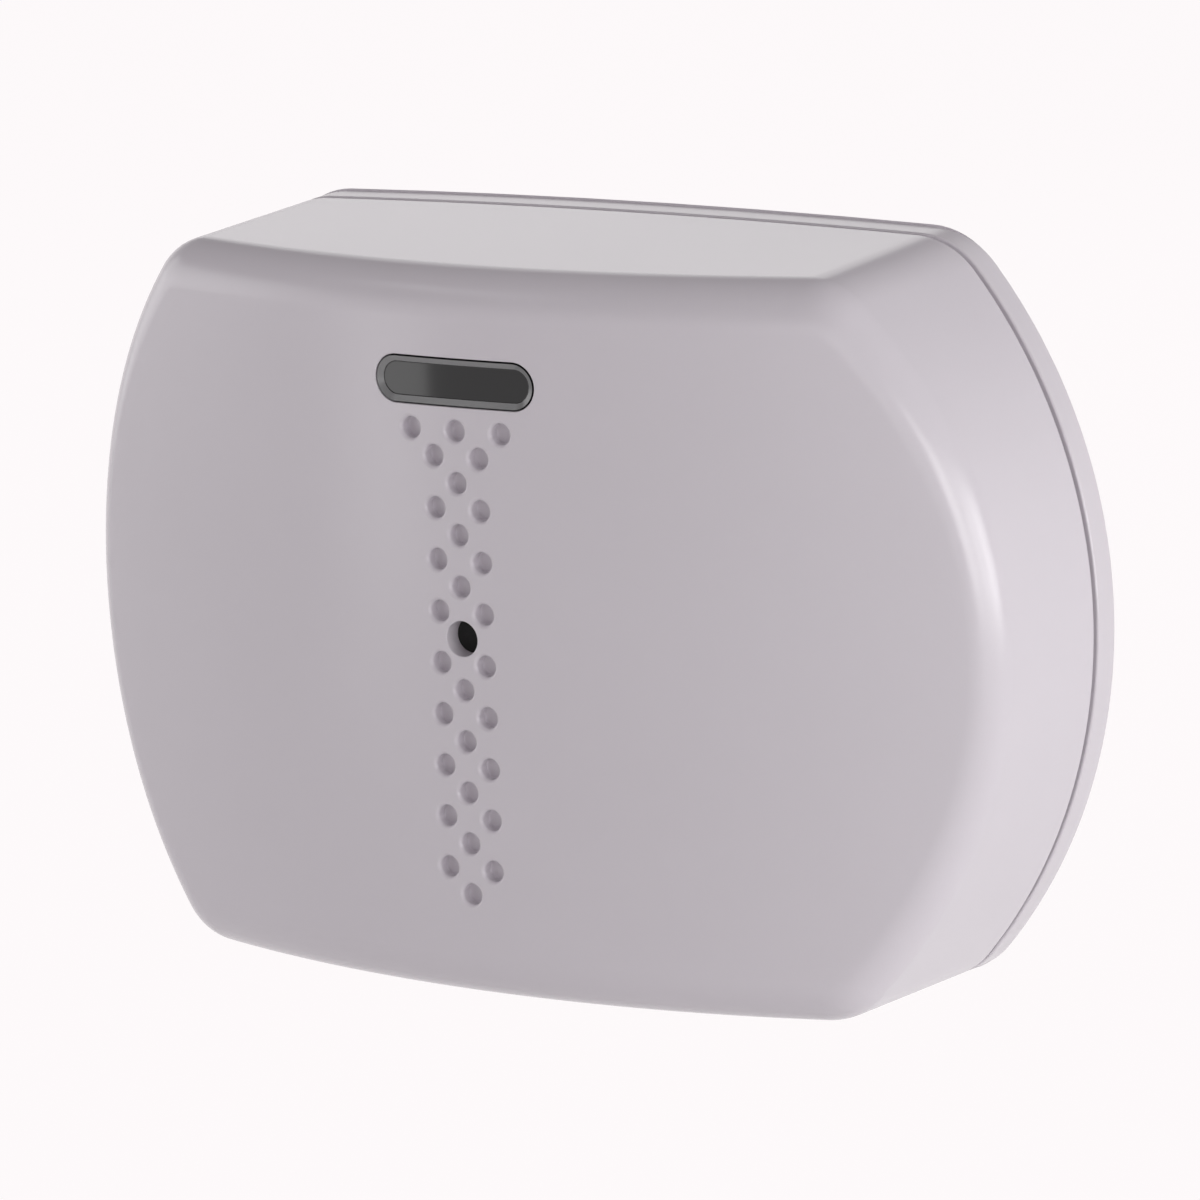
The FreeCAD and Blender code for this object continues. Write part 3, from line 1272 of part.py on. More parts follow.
def battery_cell():
    """A round cell standing along Z, its positive nub at the top."""
    body = new_body("battery_cell")
    sketch = sketch_on(body, "cell_profile", "XZ_Plane", "dims.cell_x", "0", CELL_DEPTH)
    low = "(-(dims.cell_length + dims.cell_nub) / 2)"
    high = f"({low} + dims.cell_length)"
    edge = "dims.cell_round"
    loop(sketch, [
        ("0", low), (f"dims.cell_radius - {edge}", low), ("dims.cell_radius", f"{low} + {edge}"),
        ("dims.cell_radius", f"{high} - {edge}"), (f"dims.cell_radius - {edge}", high),
        ("dims.cell_nub_radius", high), ("dims.cell_nub_radius", f"{high} + dims.cell_nub"),
        ("0", f"{high} + dims.cell_nub"),
    ])
    turn = body.newObject("PartDesign::Revolution", "cell_turned")
    turn.Profile = sketch
    turn.ReferenceAxis = (sketch, ["V_Axis"])
    body.Tip = turn
    return body


HOLDER_HALF = "((dims.cell_length + dims.cell_nub) / 2 + dims.contact_room)"
HOLDER_WIDTH = "(2 * (dims.cell_radius + dims.holder_gap + dims.holder_wall))"


def battery_holder():
    """A trough with side walls that curve round the cell and an end wall behind each contact."""
    body = new_body("battery_holder")
    block = face_sketch(body, "holder_block_line", BOARD_FRONT, "dims.cell_x")
    rectangle(block, HOLDER_WIDTH, f"2 * ({HOLDER_HALF} + dims.holder_wall)")
    pad(body, block, "dims.holder_height", "holder_block")
    trough = sketch_on(body, "trough_line", "XY_Plane", "dims.cell_x", f"-{CELL_DEPTH}",
                       f"-{HOLDER_HALF}")
    circle(trough, "dims.cell_radius + dims.holder_gap")
    pocket(body, trough, f"2 * {HOLDER_HALF}", "trough", forwards=True)
    for sign, name in (("-", "lower"), ("", "upper")):
        room = face_sketch(body, f"{name}_room_line", f"{BOARD_FRONT} + dims.holder_height",
                           "dims.cell_x")
        rectangle(room, "dims.contact_width + 2 * dims.holder_gap", "dims.contact_room",
                  "0", f"{sign}({HOLDER_HALF} - dims.contact_room / 2)")
        pocket(body, room, "dims.holder_height", f"{name}_room")
    return body


def battery_contact(name, end, bulge):
    """A bent strip: a foot on the board, an upright and a bowed tongue that meets the cell."""
    body = new_body(name)
    thick = "dims.contact_sheet"
    wall = f"({HOLDER_HALF})"
    profile = sketch_on(body, f"{name}_profile", "YZ_Plane",
                        offset="dims.cell_x - dims.contact_width / 2")
    root = f"-{BOARD_FRONT}"
    tip = f"-({CELL_DEPTH} + dims.cell_nub_radius)"
    middle = f"-{CELL_DEPTH}"
    loop(profile, [
        (root, f"{end}({wall} - dims.contact_room + {thick})"),
        (root, f"{end}{wall}"),
        (tip, f"{end}{wall}"),
        (tip, f"{end}({wall} - {thick})"),
        (middle, f"{end}({wall} - ({bulge}))"),
        (f"{root} - dims.contact_foot", f"{end}({wall} - {thick})"),
        (f"{root} - {thick}", f"{end}({wall} - {thick})"),
        (f"{root} - {thick}", f"{end}({wall} - dims.contact_room + {thick})"),
    ])
    pad(body, profile, "dims.contact_width", f"{name}_strip")
    return body


# Screws


def pan_screw(name, radius, length, head_radius, head, x, z, depth):
    """A pan-head screw with a cross recess; depth is the plane under its head."""
    shank = revolved(f"{name}_turned", [
        ("0", f"({depth}) - ({length})"),
        (f"{radius} * {SCREW_TIP}", f"({depth}) - ({length})"),
        (radius, f"({depth}) - ({length}) + ({radius})"),
        (radius, depth),
        (head_radius, depth),
        (head_radius, f"({depth}) + ({head}) * {HEAD_EDGE}"),
        (f"{head_radius} * {HEAD_TOP}", f"({depth}) + ({head})"),
        ("0", f"({depth}) + ({head})"),
    ], x, z)
    across = f"{head_radius} * {RECESS_SPAN}"
    bars = [
        board_block(f"{name}_recess_{index}", size_x, size_z, THROUGH, x, z,
                    f"({depth}) + ({head}) - dims.recess_depth")
        for index, (size_x, size_z) in enumerate(
            ((across, "dims.recess_width"), ("dims.recess_width", across)), start=1)
    ]
    return cut(name, shank, joined(f"{name}_recess", bars))


def board_screws():
    screws = []
    for side in ("-", ""):
        for level in ("-", ""):
            screws.append(pan_screw(
                f"board_screw_{len(screws) + 1}", "dims.screw_radius", "dims.screw_length",
                "dims.screw_head_radius", "dims.screw_head",
                f"{side}{POST_X}", f"{level}{POST_Z}", BOARD_FRONT))
    return group("board_screws", screws)


def cover_screw():
    """The screw in the bottom wall, turned up to stand along +Z."""
    upright = pan_screw("cover_screw_blank", "dims.cover_screw_radius", "dims.cover_screw_length",
                        "dims.cover_screw_head_radius", "dims.cover_screw_head", "0", "0", "0")
    screw = group("cover_screw", [upright])
    screw.Placement = FreeCAD.Placement(V(0, 0, 0), FreeCAD.Rotation(V(1, 0, 0), 90))
    place_at(screw, "0", "-dims.cover_screw_depth", "-dims.height / 2 + dims.cover_screw_sink")
    return screw


# The parts, by the name of their file

BESIDE_AUDIO = "(-dims.audio_x - dims.audio_length / 2 - dims.chip_part_gap - dims.chip_part_length / 2)"
BESIDE_MCU = "(dims.mcu_length / 2 + dims.chip_part_gap + dims.chip_part_length / 2)"
BESIDE_CAPACITOR = "(dims.capacitor_radius + dims.chip_part_gap + dims.chip_part_length / 2)"

SMALL_PARTS = {
    "chip_resistors": [
        (BESIDE_AUDIO, "dims.audio_z + 2 * dims.chip_part_pitch"),
        (BESIDE_AUDIO, "dims.audio_z + dims.chip_part_pitch"),
        (BESIDE_AUDIO, "dims.audio_z"),
        (f"-{MCU_X} + {BESIDE_MCU}", f"-{MCU_Z} + dims.chip_part_pitch"),
        (f"-{MCU_X} + {BESIDE_MCU}", f"-{MCU_Z}"),
    ],
    "chip_capacitors": [
        ("-dims.audio_x", "dims.audio_z - 2 * dims.chip_part_pitch"),
        ("-dims.audio_x - dims.chip_part_pitch", "dims.audio_z - 2 * dims.chip_part_pitch"),
        (f"dims.capacitor_x - {BESIDE_CAPACITOR}", "-dims.capacitor_z + dims.chip_part_pitch"),
        (f"-{MCU_X} - {BESIDE_MCU}", f"-{MCU_Z}"),
    ],
}

parts = [
    front_cover(),
    rear_base(),
    indicator_window(),
    light_guide(),
    status_light("status_light_red", "-"),
    status_light("status_light_green", ""),
    microphone_sleeve(),
    microphone_capsule(),
    port_mesh(),
    circuit_board(),
    leaded_chip("microcontroller", f"-{MCU_X}", f"-{MCU_Z}", "dims.mcu_length",
                "dims.mcu_width", "dims.mcu_pins"),
    leaded_chip("audio_processor", "-dims.audio_x", "dims.audio_z", "dims.audio_length",
                "dims.audio_width", "dims.audio_pins"),
    radio_module(),
    radio_shield_can(),
    antenna(),
    timing_crystal(),
    reservoir_capacitor(),
    service_header(),
    *[small_parts(name, places) for name, places in SMALL_PARTS.items()],
    *enrol_parts(),
    *cover_tamper_parts(),
    *wall_tamper_parts(),
    battery_cell(),
    battery_holder(),
    battery_contact("battery_contact_positive", "", "dims.contact_room"),
    battery_contact("battery_contact_negative", "-", "dims.contact_room"),
    board_screws(),
    cover_screw(),
]
doc.recompute()

for item in doc.Objects:
    if "Invalid" in item.State or "Error" in item.State:
        raise RuntimeError(f"{item.Label} did not compute: {item.State}")
for item in parts:
    if item.Shape.isNull() or not item.Shape.isValid():
        raise RuntimeError(f"{item.Label} has no valid shape")

for item in parts:
    item.Shape.exportStep(f"parts/{item.Label}.step")
    size = item.Shape.BoundBox
    print(f"{item.Label}: {len(item.Shape.Solids)} solid, {item.Shape.Volume:.1f} mm3, "
          f"x {size.XMin:.2f} {size.XMax:.2f} y {size.YMin:.2f} {size.YMax:.2f} "
          f"z {size.ZMin:.2f} {size.ZMax:.2f}")
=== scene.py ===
import json
import math

import bmesh
import bpy
import numpy as np
from mathutils import Matrix, Vector, geometry
from mathutils.bvhtree import BVHTree


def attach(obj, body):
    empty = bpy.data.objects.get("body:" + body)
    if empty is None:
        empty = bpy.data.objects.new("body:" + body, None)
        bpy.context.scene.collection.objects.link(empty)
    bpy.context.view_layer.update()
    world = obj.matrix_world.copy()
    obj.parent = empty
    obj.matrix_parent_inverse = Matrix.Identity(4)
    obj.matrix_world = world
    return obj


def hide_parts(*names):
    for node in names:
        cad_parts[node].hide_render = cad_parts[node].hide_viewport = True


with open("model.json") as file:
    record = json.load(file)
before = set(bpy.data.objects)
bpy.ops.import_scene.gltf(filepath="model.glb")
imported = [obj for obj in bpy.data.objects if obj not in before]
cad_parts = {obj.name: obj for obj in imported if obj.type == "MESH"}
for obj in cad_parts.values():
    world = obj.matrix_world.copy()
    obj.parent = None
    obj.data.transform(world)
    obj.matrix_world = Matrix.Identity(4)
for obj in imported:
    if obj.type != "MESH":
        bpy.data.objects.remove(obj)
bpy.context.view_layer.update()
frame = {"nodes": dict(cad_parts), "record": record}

MM = 0.001

# Main form of the housing: rear outline on the wall, front outline at full depth

DEPTH = 35.75 * MM
CROWN_RADIUS = 124.3 * MM
HALF_WIDTH = 55.8 * MM
HALF_HEIGHT = 39.62 * MM
SIDE_DRAFT = 1.48 * MM
TOP_DRAFT = 1.895 * MM
REAR_RADII = {"side": 56.0 * MM, "top": 1200.0 * MM, "corner": 9.2 * MM}
FRONT_RADII = {"side": 54.25 * MM, "top": 4000.0 * MM, "corner": 6.8 * MM}
EDGE_ROUND = 4.9 * MM
WALL = 2.4 * MM

# Band of the base, seam and small edge roundings

BAND = 3.3 * MM
SEAM = 0.8 * MM
REAR_ROUND = 0.15 * MM
SEAM_ROUND = 0.25 * MM
TONGUE_INSET = 2.65 * MM

# Dimples, microphone hole, screw recess and window, with heights from the housing's middle

DIMPLE_PITCH = 2.68 * MM
DIMPLE_RADIUS = 1.1 * MM
DIMPLE_DEPTH = 1.35 * MM
DIMPLE_RIM = 0.4 * MM
DIMPLE_ROOT = 0.2 * MM
ROWS = 19
MIC_ROW = 8
MIC_Z = 0.2 * MM
MIC_RADIUS = 1.85 * MM
MIC_SEAT = 2.1 * MM
HOLE_RIM = 0.12 * MM
SCREW_DEPTH = 14.0 * MM
SCREW_RECESS = 3.15 * MM
SCREW_SEAT = 37.3 * MM
WINDOW_Z = 26.6 * MM
WINDOW_LENGTH = 19.0 * MM
WINDOW_HEIGHT = 5.0 * MM
WINDOW_SEAT = 1.7 * MM
WINDOW_GAP = 0.15 * MM
WINDOW_RIM = 0.04 * MM
BEVEL_WIDTH = 0.6 * MM
BEVEL_DEPTH = 0.4 * MM
DISH_DEPTH = 0.45 * MM
DISH_ROOT = 0.12 * MM

# Fineness of the meshes

SIDE_STEPS = 120
CORNER_STEPS = 28
TOP_STEPS = 72
WALL_STEPS = 10
ROUND_STEPS = 16
RING_STEPS = 36
RIM_STEPS = 6
STRAIGHT_STEPS = 11
FACE_GRID = 2.4 * MM
WINDOW_GRID = 0.8 * MM
GRID_MARGIN = 0.35 * MM
PATCH_MARGIN = 2.0 * MM
SAME_POINT = 1e-9
BISECTIONS = 40

# How near to the new skin, and how far turned its way, a CAD face is left out for it

HOUSING_REACH = 0.7 * MM
WINDOW_REACH = 0.2 * MM
SAME_WAY = 0.3


# Outline and surface of the housing


def outline_arcs(half_width, half_height, radii, inset=0.0):
    """Eight tangent arcs, anticlockwise from the right side: (centre, radius, start, end)."""
    side, top, corner = radii["side"], radii["top"], radii["corner"]
    side_centre = np.array([half_width - side, 0.0])
    top_centre = np.array([0.0, half_height - top])
    span = top_centre - side_centre
    length = np.linalg.norm(span)
    reach_side = side - corner
    reach_top = top - corner
    along = (reach_side**2 - reach_top**2 + length**2) / (2 * length)
    across = math.sqrt(reach_side**2 - along**2)
    forward = span / length
    sideways = np.array([-forward[1], forward[0]])
    options = [side_centre + forward * along + sideways * sign * across for sign in (1, -1)]
    centre = max(options, key=lambda point: point[0])
    steep = math.atan2(*(centre - side_centre)[::-1])
    shallow = math.atan2(*(centre - top_centre)[::-1])
    half_turn = math.pi
    left = np.array([-1.0, 1.0])
    return [
        (side_centre, side - inset, -steep, steep),
        (centre, corner - inset, steep, shallow),
        (top_centre, top - inset, shallow, half_turn - shallow),
        (centre * left, corner - inset, half_turn - shallow, half_turn - steep),
        (-side_centre, side - inset, half_turn - steep, half_turn + steep),
        (-centre, corner - inset, half_turn + steep, half_turn + shallow),
        (-top_centre, top - inset, half_turn + shallow, 2 * half_turn - shallow),
        (-centre * left, corner - inset, 2 * half_turn - shallow, 2 * half_turn - steep),
    ]


def outline_points(arcs):
    """Points round the outline as (x, z) rows; the two outlines have matching points."""
    steps = [SIDE_STEPS, CORNER_STEPS, TOP_STEPS, CORNER_STEPS] * 2
    rows = []
    for (centre, radius, start, end), count in zip(arcs, steps):
        angles = start + (end - start) * np.arange(count) / count
        rows.append(centre + radius * np.stack([np.cos(angles), np.sin(angles)], 1))
    return np.concatenate(rows)


def wall_form(inset=0.0):
    """Matching rear and front outlines of the drafted walls."""
    rear = outline_points(outline_arcs(HALF_WIDTH, HALF_HEIGHT, REAR_RADII, inset))
    front = outline_points(
        outline_arcs(HALF_WIDTH - SIDE_DRAFT, HALF_HEIGHT - TOP_DRAFT, FRONT_RADII, inset)
    )
    return rear, front


def wall_points(form, depths):
    """Points of the walls at one depth for each outline point, and their outward normals."""
    rear, front = form
    share = (depths / DEPTH)[:, None]
    flat = rear + (front - rear) * share
    points = np.stack([flat[:, 0], -depths, flat[:, 1]], 1)
    ring = np.roll(flat, -1, 0) - np.roll(flat, 1, 0)
    around = np.stack([ring[:, 0], np.zeros(len(ring)), ring[:, 1]], 1)
    slope = (front - rear) / DEPTH
    forward = np.stack([slope[:, 0], -np.ones(len(slope)), slope[:, 1]], 1)
    normals = np.cross(around, forward)
    normals /= np.linalg.norm(normals, axis=1)[:, None]
    outward = np.sign((normals[:, [0, 2]] * flat).sum(1))
    return points, normals * outward[:, None]


def crown_depth(x):
    """Depth of the bowed face at a distance x from the middle."""
    return DEPTH - CROWN_RADIUS + np.sqrt(CROWN_RADIUS**2 - np.asarray(x) ** 2)


def crown_normals(x):
    """Outward directions of the bowed face at distances x from the middle."""
    x = np.asarray(x, float)
    return np.stack(
        [x / CROWN_RADIUS, -np.sqrt(1 - (x / CROWN_RADIUS) ** 2), np.zeros(len(x))], 1
    )


def ball_centres(form, radius):
    """Where a ball rolls that touches wall and bowed face: wall depth, centre and both normals."""
    axis = np.array([0.0, CROWN_RADIUS - DEPTH])
    low = np.zeros(len(form[0]))
    high = np.full(len(form[0]), DEPTH)
    for _ in range(BISECTIONS):
        middle = (low + high) / 2
        points, normals = wall_points(form, middle)
        centres = points - normals * radius
        reach = np.linalg.norm(centres[:, :2] - axis, axis=1)
        outside = reach > CROWN_RADIUS - radius
        high = np.where(outside, middle, high)
        low = np.where(outside, low, middle)
    spoke = centres[:, :2] - axis
    spoke /= np.linalg.norm(spoke, axis=1)[:, None]
    face_normals = np.stack([spoke[:, 0], spoke[:, 1], np.zeros(len(spoke))], 1)
    return middle, centres, normals, face_normals


def turned_between(first, second, share):
    """Unit vectors part of the way from one set to another."""
    cosine = np.clip((first * second).sum(1), -1, 1)
    angle = np.arccos(cosine)[:, None]
    mixed = first * np.sin((1 - share) * angle) + second * np.sin(share * angle)
    return mixed / np.sin(angle)


# Collecting points and faces


class Skin:
    """Points with their own normals, and the faces between them."""

    def __init__(self):
        self.points = []
        self.normals = []
        self.faces = []
        self.bevelled = []

    def add(self, points, normals):
        """Adds rows of points and returns their numbers."""
        start = len(self.points)
        self.points.extend(map(tuple, points))
        self.normals.extend(map(tuple, normals))
        return list(range(start, len(self.points)))

    def strip(self, lower, upper, skip=()):
        """Faces between two rings with as many points, but not at the skipped places."""
        count = len(lower)
        for i in range(count):
            if i not in skip:
                j = (i + 1) % count
                self.faces.append((lower[i], lower[j], upper[j], upper[i]))

    def lofted(self, rings, patch=None):
        """Faces through (points, normals) rings but not in a patch; returns the rings' numbers."""
        numbers = [self.add(points, normals) for points, normals in rings]
        rows, columns = patch or (range(0), range(0))
        for i, (lower, upper) in enumerate(zip(numbers, numbers[1:])):
            self.strip(lower, upper, columns if i in rows else ())
        return numbers


def face_outwards(skin):
    """Turns each face so that it agrees with its points' normals."""
    points = np.array(skin.points)
    normals = np.array(skin.normals)
    turned = []
    for face in skin.faces:
        a, b, c = points[list(face[:3])]
        wanted = normals[list(face)].sum(0)
        turned.append(face if np.dot(np.cross(b - a, c - a), wanted) > 0 else face[::-1])
    skin.faces = turned


def remaining_faces(node, skin, near):
    """The CAD node's own faces away from the new skin, with their points and corner normals."""
    mesh = frame["nodes"][node].data
    tree = BVHTree.FromPolygons(skin.points, skin.faces)
    corner_normals = [tuple(corner.vector) for corner in mesh.corner_normals]
    points = [tuple(vertex.co) for vertex in mesh.vertices]
    close = [tree.find_nearest(point, near)[0] is not None for point in points]
    faces = []
    normals = []
    for polygon in mesh.polygons:
        if all(close[i] for i in polygon.vertices):
            normal = tree.find_nearest(polygon.center, 2 * near)[1]
            if normal is not None and normal.dot(polygon.normal) > SAME_WAY:
                continue
        faces.append(tuple(polygon.vertices))
        normals.extend(corner_normals[i] for i in polygon.loop_indices)
    return points, faces, normals


def build_piece(name, skin, node, near):
    """A mesh of the skin, and of what the CAD node has behind it, with exact normals."""
    face_outwards(skin)
    points = list(skin.points)
    faces = list(skin.faces)
    corners = [skin.normals[i] for face in faces for i in face]
    more, extra, extra_normals = remaining_faces(node, skin, near)
    start = len(points)
    points += more
    faces += [tuple(i + start for i in face) for face in extra]
    corners += extra_normals
    mesh = bpy.data.meshes.new(name)
    mesh.from_pydata(points, [], faces)
    mesh.polygons.foreach_set("use_smooth", [True] * len(mesh.polygons))
    mesh.normals_split_custom_set(corners)
    mesh.update()
    if skin.bevelled:
        share = mesh.attributes.new("bevel", "FLOAT", "POINT")
        for i in skin.bevelled:
            share.data[i].value = 1.0
    piece = bpy.data.objects.new(name, mesh)
    bpy.context.scene.collection.objects.link(piece)
    drop_loose_points(piece)
    return piece


def drop_loose_points(piece):
    """Removes points that no face uses and keeps the corner normals."""
    normals = [tuple(corner.vector) for corner in piece.data.corner_normals]
    work = bmesh.new()
    work.from_mesh(piece.data)
    bmesh.ops.delete(
        work, geom=[vertex for vertex in work.verts if not vertex.link_faces], context="VERTS"
    )
    work.to_mesh(piece.data)
    work.free()
    piece.data.normals_split_custom_set(normals)


# Openings in the face: dimples, microphone hole and window slot


def rim_rows(rim):
    """A rounded rim's section from the face inwards: (distance from the edge, depth, lean) rows.

    Lean is zero where the surface looks straight out and a right angle where it looks across.
    """
    angles = [math.pi / 2 * i / RIM_STEPS for i in range(RIM_STEPS + 1)]
    return [(rim - rim * math.sin(angle), rim - rim * math.cos(angle), angle) for angle in angles]


def dimple_rows():
    """A dimple's section: its rim, and the rounding between its wall and its floor."""
    rows = rim_rows(DIMPLE_RIM)
    for i in range(RIM_STEPS + 1):
        lean = math.pi / 2 * (1 - i / RIM_STEPS)
        edge = DIMPLE_ROOT * math.sin(lean) - DIMPLE_ROOT
        rows.append((edge, DIMPLE_DEPTH - DIMPLE_ROOT + DIMPLE_ROOT * math.cos(lean), lean))
    return rows


def circle_directions(count):
    """Unit vectors at equal steps round a circle."""
    angles = 2 * math.pi * np.arange(count) / count
    return np.stack([np.cos(angles), np.sin(angles)], 1)


def stadium(length, height, offset):
    """Points and outward directions of a slot's edge moved outwards by an offset."""
    half = (length - height) / 2
    shares = np.arange(1, STRAIGHT_STEPS) / STRAIGHT_STEPS
    points = []
    directions = []
    for centre, start in ((half, -math.pi / 2), (-half, math.pi / 2)):
        angles = start + math.pi * np.arange(RING_STEPS + 1) / RING_STEPS
        turned = np.stack([np.cos(angles), np.sin(angles)], 1)
        end = np.array([centre, 0.0]) + (height / 2 + offset) * turned
        straight = end[-1] - np.stack([2 * centre * shares, np.zeros(len(shares))], 1)
        points += [end, straight]
        directions += [turned, np.repeat(turned[-1:], len(shares), 0)]
    return np.concatenate(points), np.concatenate(directions)


def dimple_places():
    """Centres of the dimples: single ones and pairs by turns, two more at the top."""
    places = []
    for row in range(ROWS):
        z = MIC_Z + (MIC_ROW - row) * DIMPLE_PITCH
        if row == 0:
            columns = (-2, 0, 2)
        elif row == MIC_ROW:
            columns = ()
        elif row % 2:
            columns = (-1, 1)
        else:
            columns = (0,)
        places += [(column * DIMPLE_PITCH, z) for column in columns]
    return places


def lifted(flat, directions, depth, lean):
    """Points sunk below the bowed face, with normals that lean across the pocket."""
    x, z = flat[:, 0], flat[:, 1]
    out = crown_normals(x)
    points = np.stack([x, -crown_depth(x), z], 1)
    points[:, 1] += depth
    across = np.stack([-directions[:, 0], np.zeros(len(x)), -directions[:, 1]], 1)
    normals = out * math.cos(lean) + across * math.sin(lean)
    return points, normals / np.linalg.norm(normals, axis=1)[:, None]


def add_dimple(skin, place):
    """A dimple in the face; returns its outer ring's numbers."""
    directions = circle_directions(RING_STEPS)
    rings = []
    for edge, depth, lean in dimple_rows():
        flat = np.array(place) + (DIMPLE_RADIUS + edge) * directions
        rings.append(lifted(flat, directions, depth, lean))
    numbers = skin.lofted(rings)
    centre = np.array([place])
    middle = skin.add(*lifted(centre, np.zeros((1, 2)), DIMPLE_DEPTH, 0.0))[0]
    inner = numbers[-1]
    for i in range(RING_STEPS):
        skin.faces.append((inner[i], inner[(i + 1) % RING_STEPS], middle))
    return numbers[0]


def add_mic_hole(skin):
    """The microphone hole down to the cover's flat seat; returns its outer ring's numbers."""
    directions = circle_directions(RING_STEPS)
    centre = np.array([0.0, MIC_Z])
    rings = []
    for edge, depth, lean in rim_rows(HOLE_RIM):
        rings.append(lifted(centre + (MIC_RADIUS + edge) * directions, directions, depth, lean))
    points, normals = lifted(centre + MIC_RADIUS * directions, directions, MIC_SEAT, math.pi / 2)
    points[:, 1] = MIC_SEAT - DEPTH
    rings.append((points, normals))
    return skin.lofted(rings)[0]


def slot_ring(offset, depth, lean):
    """A ring round the window's slot, moved outwards by an offset."""
    flat, directions = stadium(WINDOW_LENGTH, WINDOW_HEIGHT, offset)
    return lifted(flat + np.array([0.0, WINDOW_Z]), directions, depth, lean)


def seat_ring(offset, lean):
    """A ring round the window's slot on the flat seat behind the face."""
    points, normals = slot_ring(offset, WINDOW_SEAT, lean)
    points[:, 1] = WINDOW_SEAT - DEPTH
    return points, normals


def add_window_slot(skin):
    """The window's slot down to its seat; returns its outer ring's numbers."""
    rings = [slot_ring(*row) for row in rim_rows(HOLE_RIM)]
    rings.append(seat_ring(0.0, math.pi / 2))
    return skin.lofted(rings)[0]


def sunk_below(flat, directions, sink, lean):
    """Points (x, depth) sunk into the bottom wall, with normals that lean across the recess."""
    x, depths = flat[:, 0], flat[:, 1]
    heights = []
    for half_height, radius in (
        (HALF_HEIGHT, REAR_RADII["top"]),
        (HALF_HEIGHT - TOP_DRAFT, FRONT_RADII["top"]),
    ):
        heights.append(half_height - radius + np.sqrt(radius**2 - x**2))
    rear, front = heights
    z = sink - rear - (front - rear) * depths / DEPTH
    out = np.array([0.0, -TOP_DRAFT / DEPTH, -1.0])
    across = np.stack([-directions[:, 0], directions[:, 1], np.zeros(len(x))], 1)
    normals = out / np.linalg.norm(out) * math.cos(lean) + across * math.sin(lean)
    return np.stack([x, -depths, z], 1), normals


def add_screw_recess(skin, numbers, patch):
    """Closes the patch left open in the bottom wall, round the cover screw's recess."""
    directions = circle_directions(RING_STEPS)
    centre = np.array([0.0, SCREW_DEPTH])
    rings = []
    for edge, sink, lean in rim_rows(HOLE_RIM):
        flat = centre + (SCREW_RECESS + edge) * directions
        rings.append(sunk_below(flat, directions, sink, lean))
    points, normals = sunk_below(centre + SCREW_RECESS * directions, directions, 0.0, math.pi / 2)
    points[:, 2] = -SCREW_SEAT
    rings.append((points, normals))
    outer = skin.lofted(rings)[0]
    rows, columns = patch
    low, high = numbers[rows[0]], numbers[rows[-1] + 1]
    run = range(columns[0], columns[-1] + 2)
    inner_rows = numbers[rows[0] + 1:rows[-1] + 1]
    boundary = [low[i] for i in run] + [row[run[-1]] for row in inner_rows]
    boundary += [high[i] for i in reversed(run)] + [row[run[0]] for row in reversed(inner_rows)]
    fill_between(skin, boundary, [outer], plane=lambda point: (point[0], -point[1]))


def fill_between(skin, boundary, holes, plane, inner_points=(), lift=None):
    """Triangles between a boundary ring and holes, made in a flat projection.

    Inner points that are clear of the rings are lifted from the projection and used too.
    """
    numbers = list(boundary)
    edges = ring_edges(0, len(boundary))
    for hole in holes:
        edges += ring_edges(len(numbers), len(hole))
        numbers += hole
    flat = [Vector(plane(skin.points[i])) for i in numbers]
    outlines = [[flat[k] for k in range(start, end)] for start, end in ring_spans(boundary, holes)]
    extra = [point for point in inner_points if clear_of(point, outlines)]
    if extra:
        numbers += skin.add(*lift(np.array(extra)))
        flat += [Vector(point) for point in extra]
    _, _, triangles, origins, _, _ = geometry.delaunay_2d_cdt(flat, edges, [], 0, SAME_POINT)
    index = {i: row[0] for i, row in enumerate(origins)}
    for triangle in triangles:
        middle = sum((flat[index[i]] for i in triangle), Vector((0, 0))) / 3
        if inside(middle, outlines[0]) and not any(inside(middle, ring) for ring in outlines[1:]):
            skin.faces.append(tuple(numbers[index[i]] for i in triangle))


def ring_edges(start, count):
    """Pairs of neighbours round a closed ring."""
    return [(start + i, start + (i + 1) % count) for i in range(count)]


def ring_spans(boundary, holes):
    """Where each ring starts and ends in the list of all rings' points."""
    start = 0
    for ring in [boundary] + holes:
        yield start, start + len(ring)
        start += len(ring)


def inside(point, ring):
    """True if the point lies inside the closed ring."""
    within = False
    for a, b in zip(ring, ring[1:] + ring[:1]):
        if (a.y > point.y) != (b.y > point.y):
            if point.x < a.x + (b.x - a.x) * (point.y - a.y) / (b.y - a.y):
                within = not within
    return within


def clear_of(point, outlines):
    """True for a point inside the boundary and away from every ring."""
    at = Vector(point)
    if not inside(at, outlines[0]):
        return False
    for ring in outlines:
        if min((corner - at).length for corner in ring) < GRID_MARGIN:
            return False
    return not any(inside(at, ring) for ring in outlines[1:])


# Front cover


def edge_ring(form, depth, inset, lean):
    """A ring just inside the walls, with normals that lean from the wall towards the rear."""
    points, normals = wall_points(form, np.full(len(form[0]), depth))
    moved = points - normals * inset
    moved[:, 1] = -depth
    back = np.zeros_like(normals)
    back[:, 1] = 1.0
    mixed = normals * math.cos(lean) + back * math.sin(lean)
    return moved, mixed / np.linalg.norm(mixed, axis=1)[:, None]


def rounded_edge(form, depth, radius, forwards):
    """Rings round the small rounding of a wall's end at a depth, from the end plane outwards."""
    rings = []
    sign = -1.0 if forwards else 1.0
    for i in range(RIM_STEPS + 1):
        angle = math.pi / 2 * (1 - i / RIM_STEPS)
        inset = radius - radius * math.cos(angle)
        at = depth + sign * (radius - radius * math.sin(angle))
        rings.append(edge_ring(form, at, inset, sign * angle))
    return rings


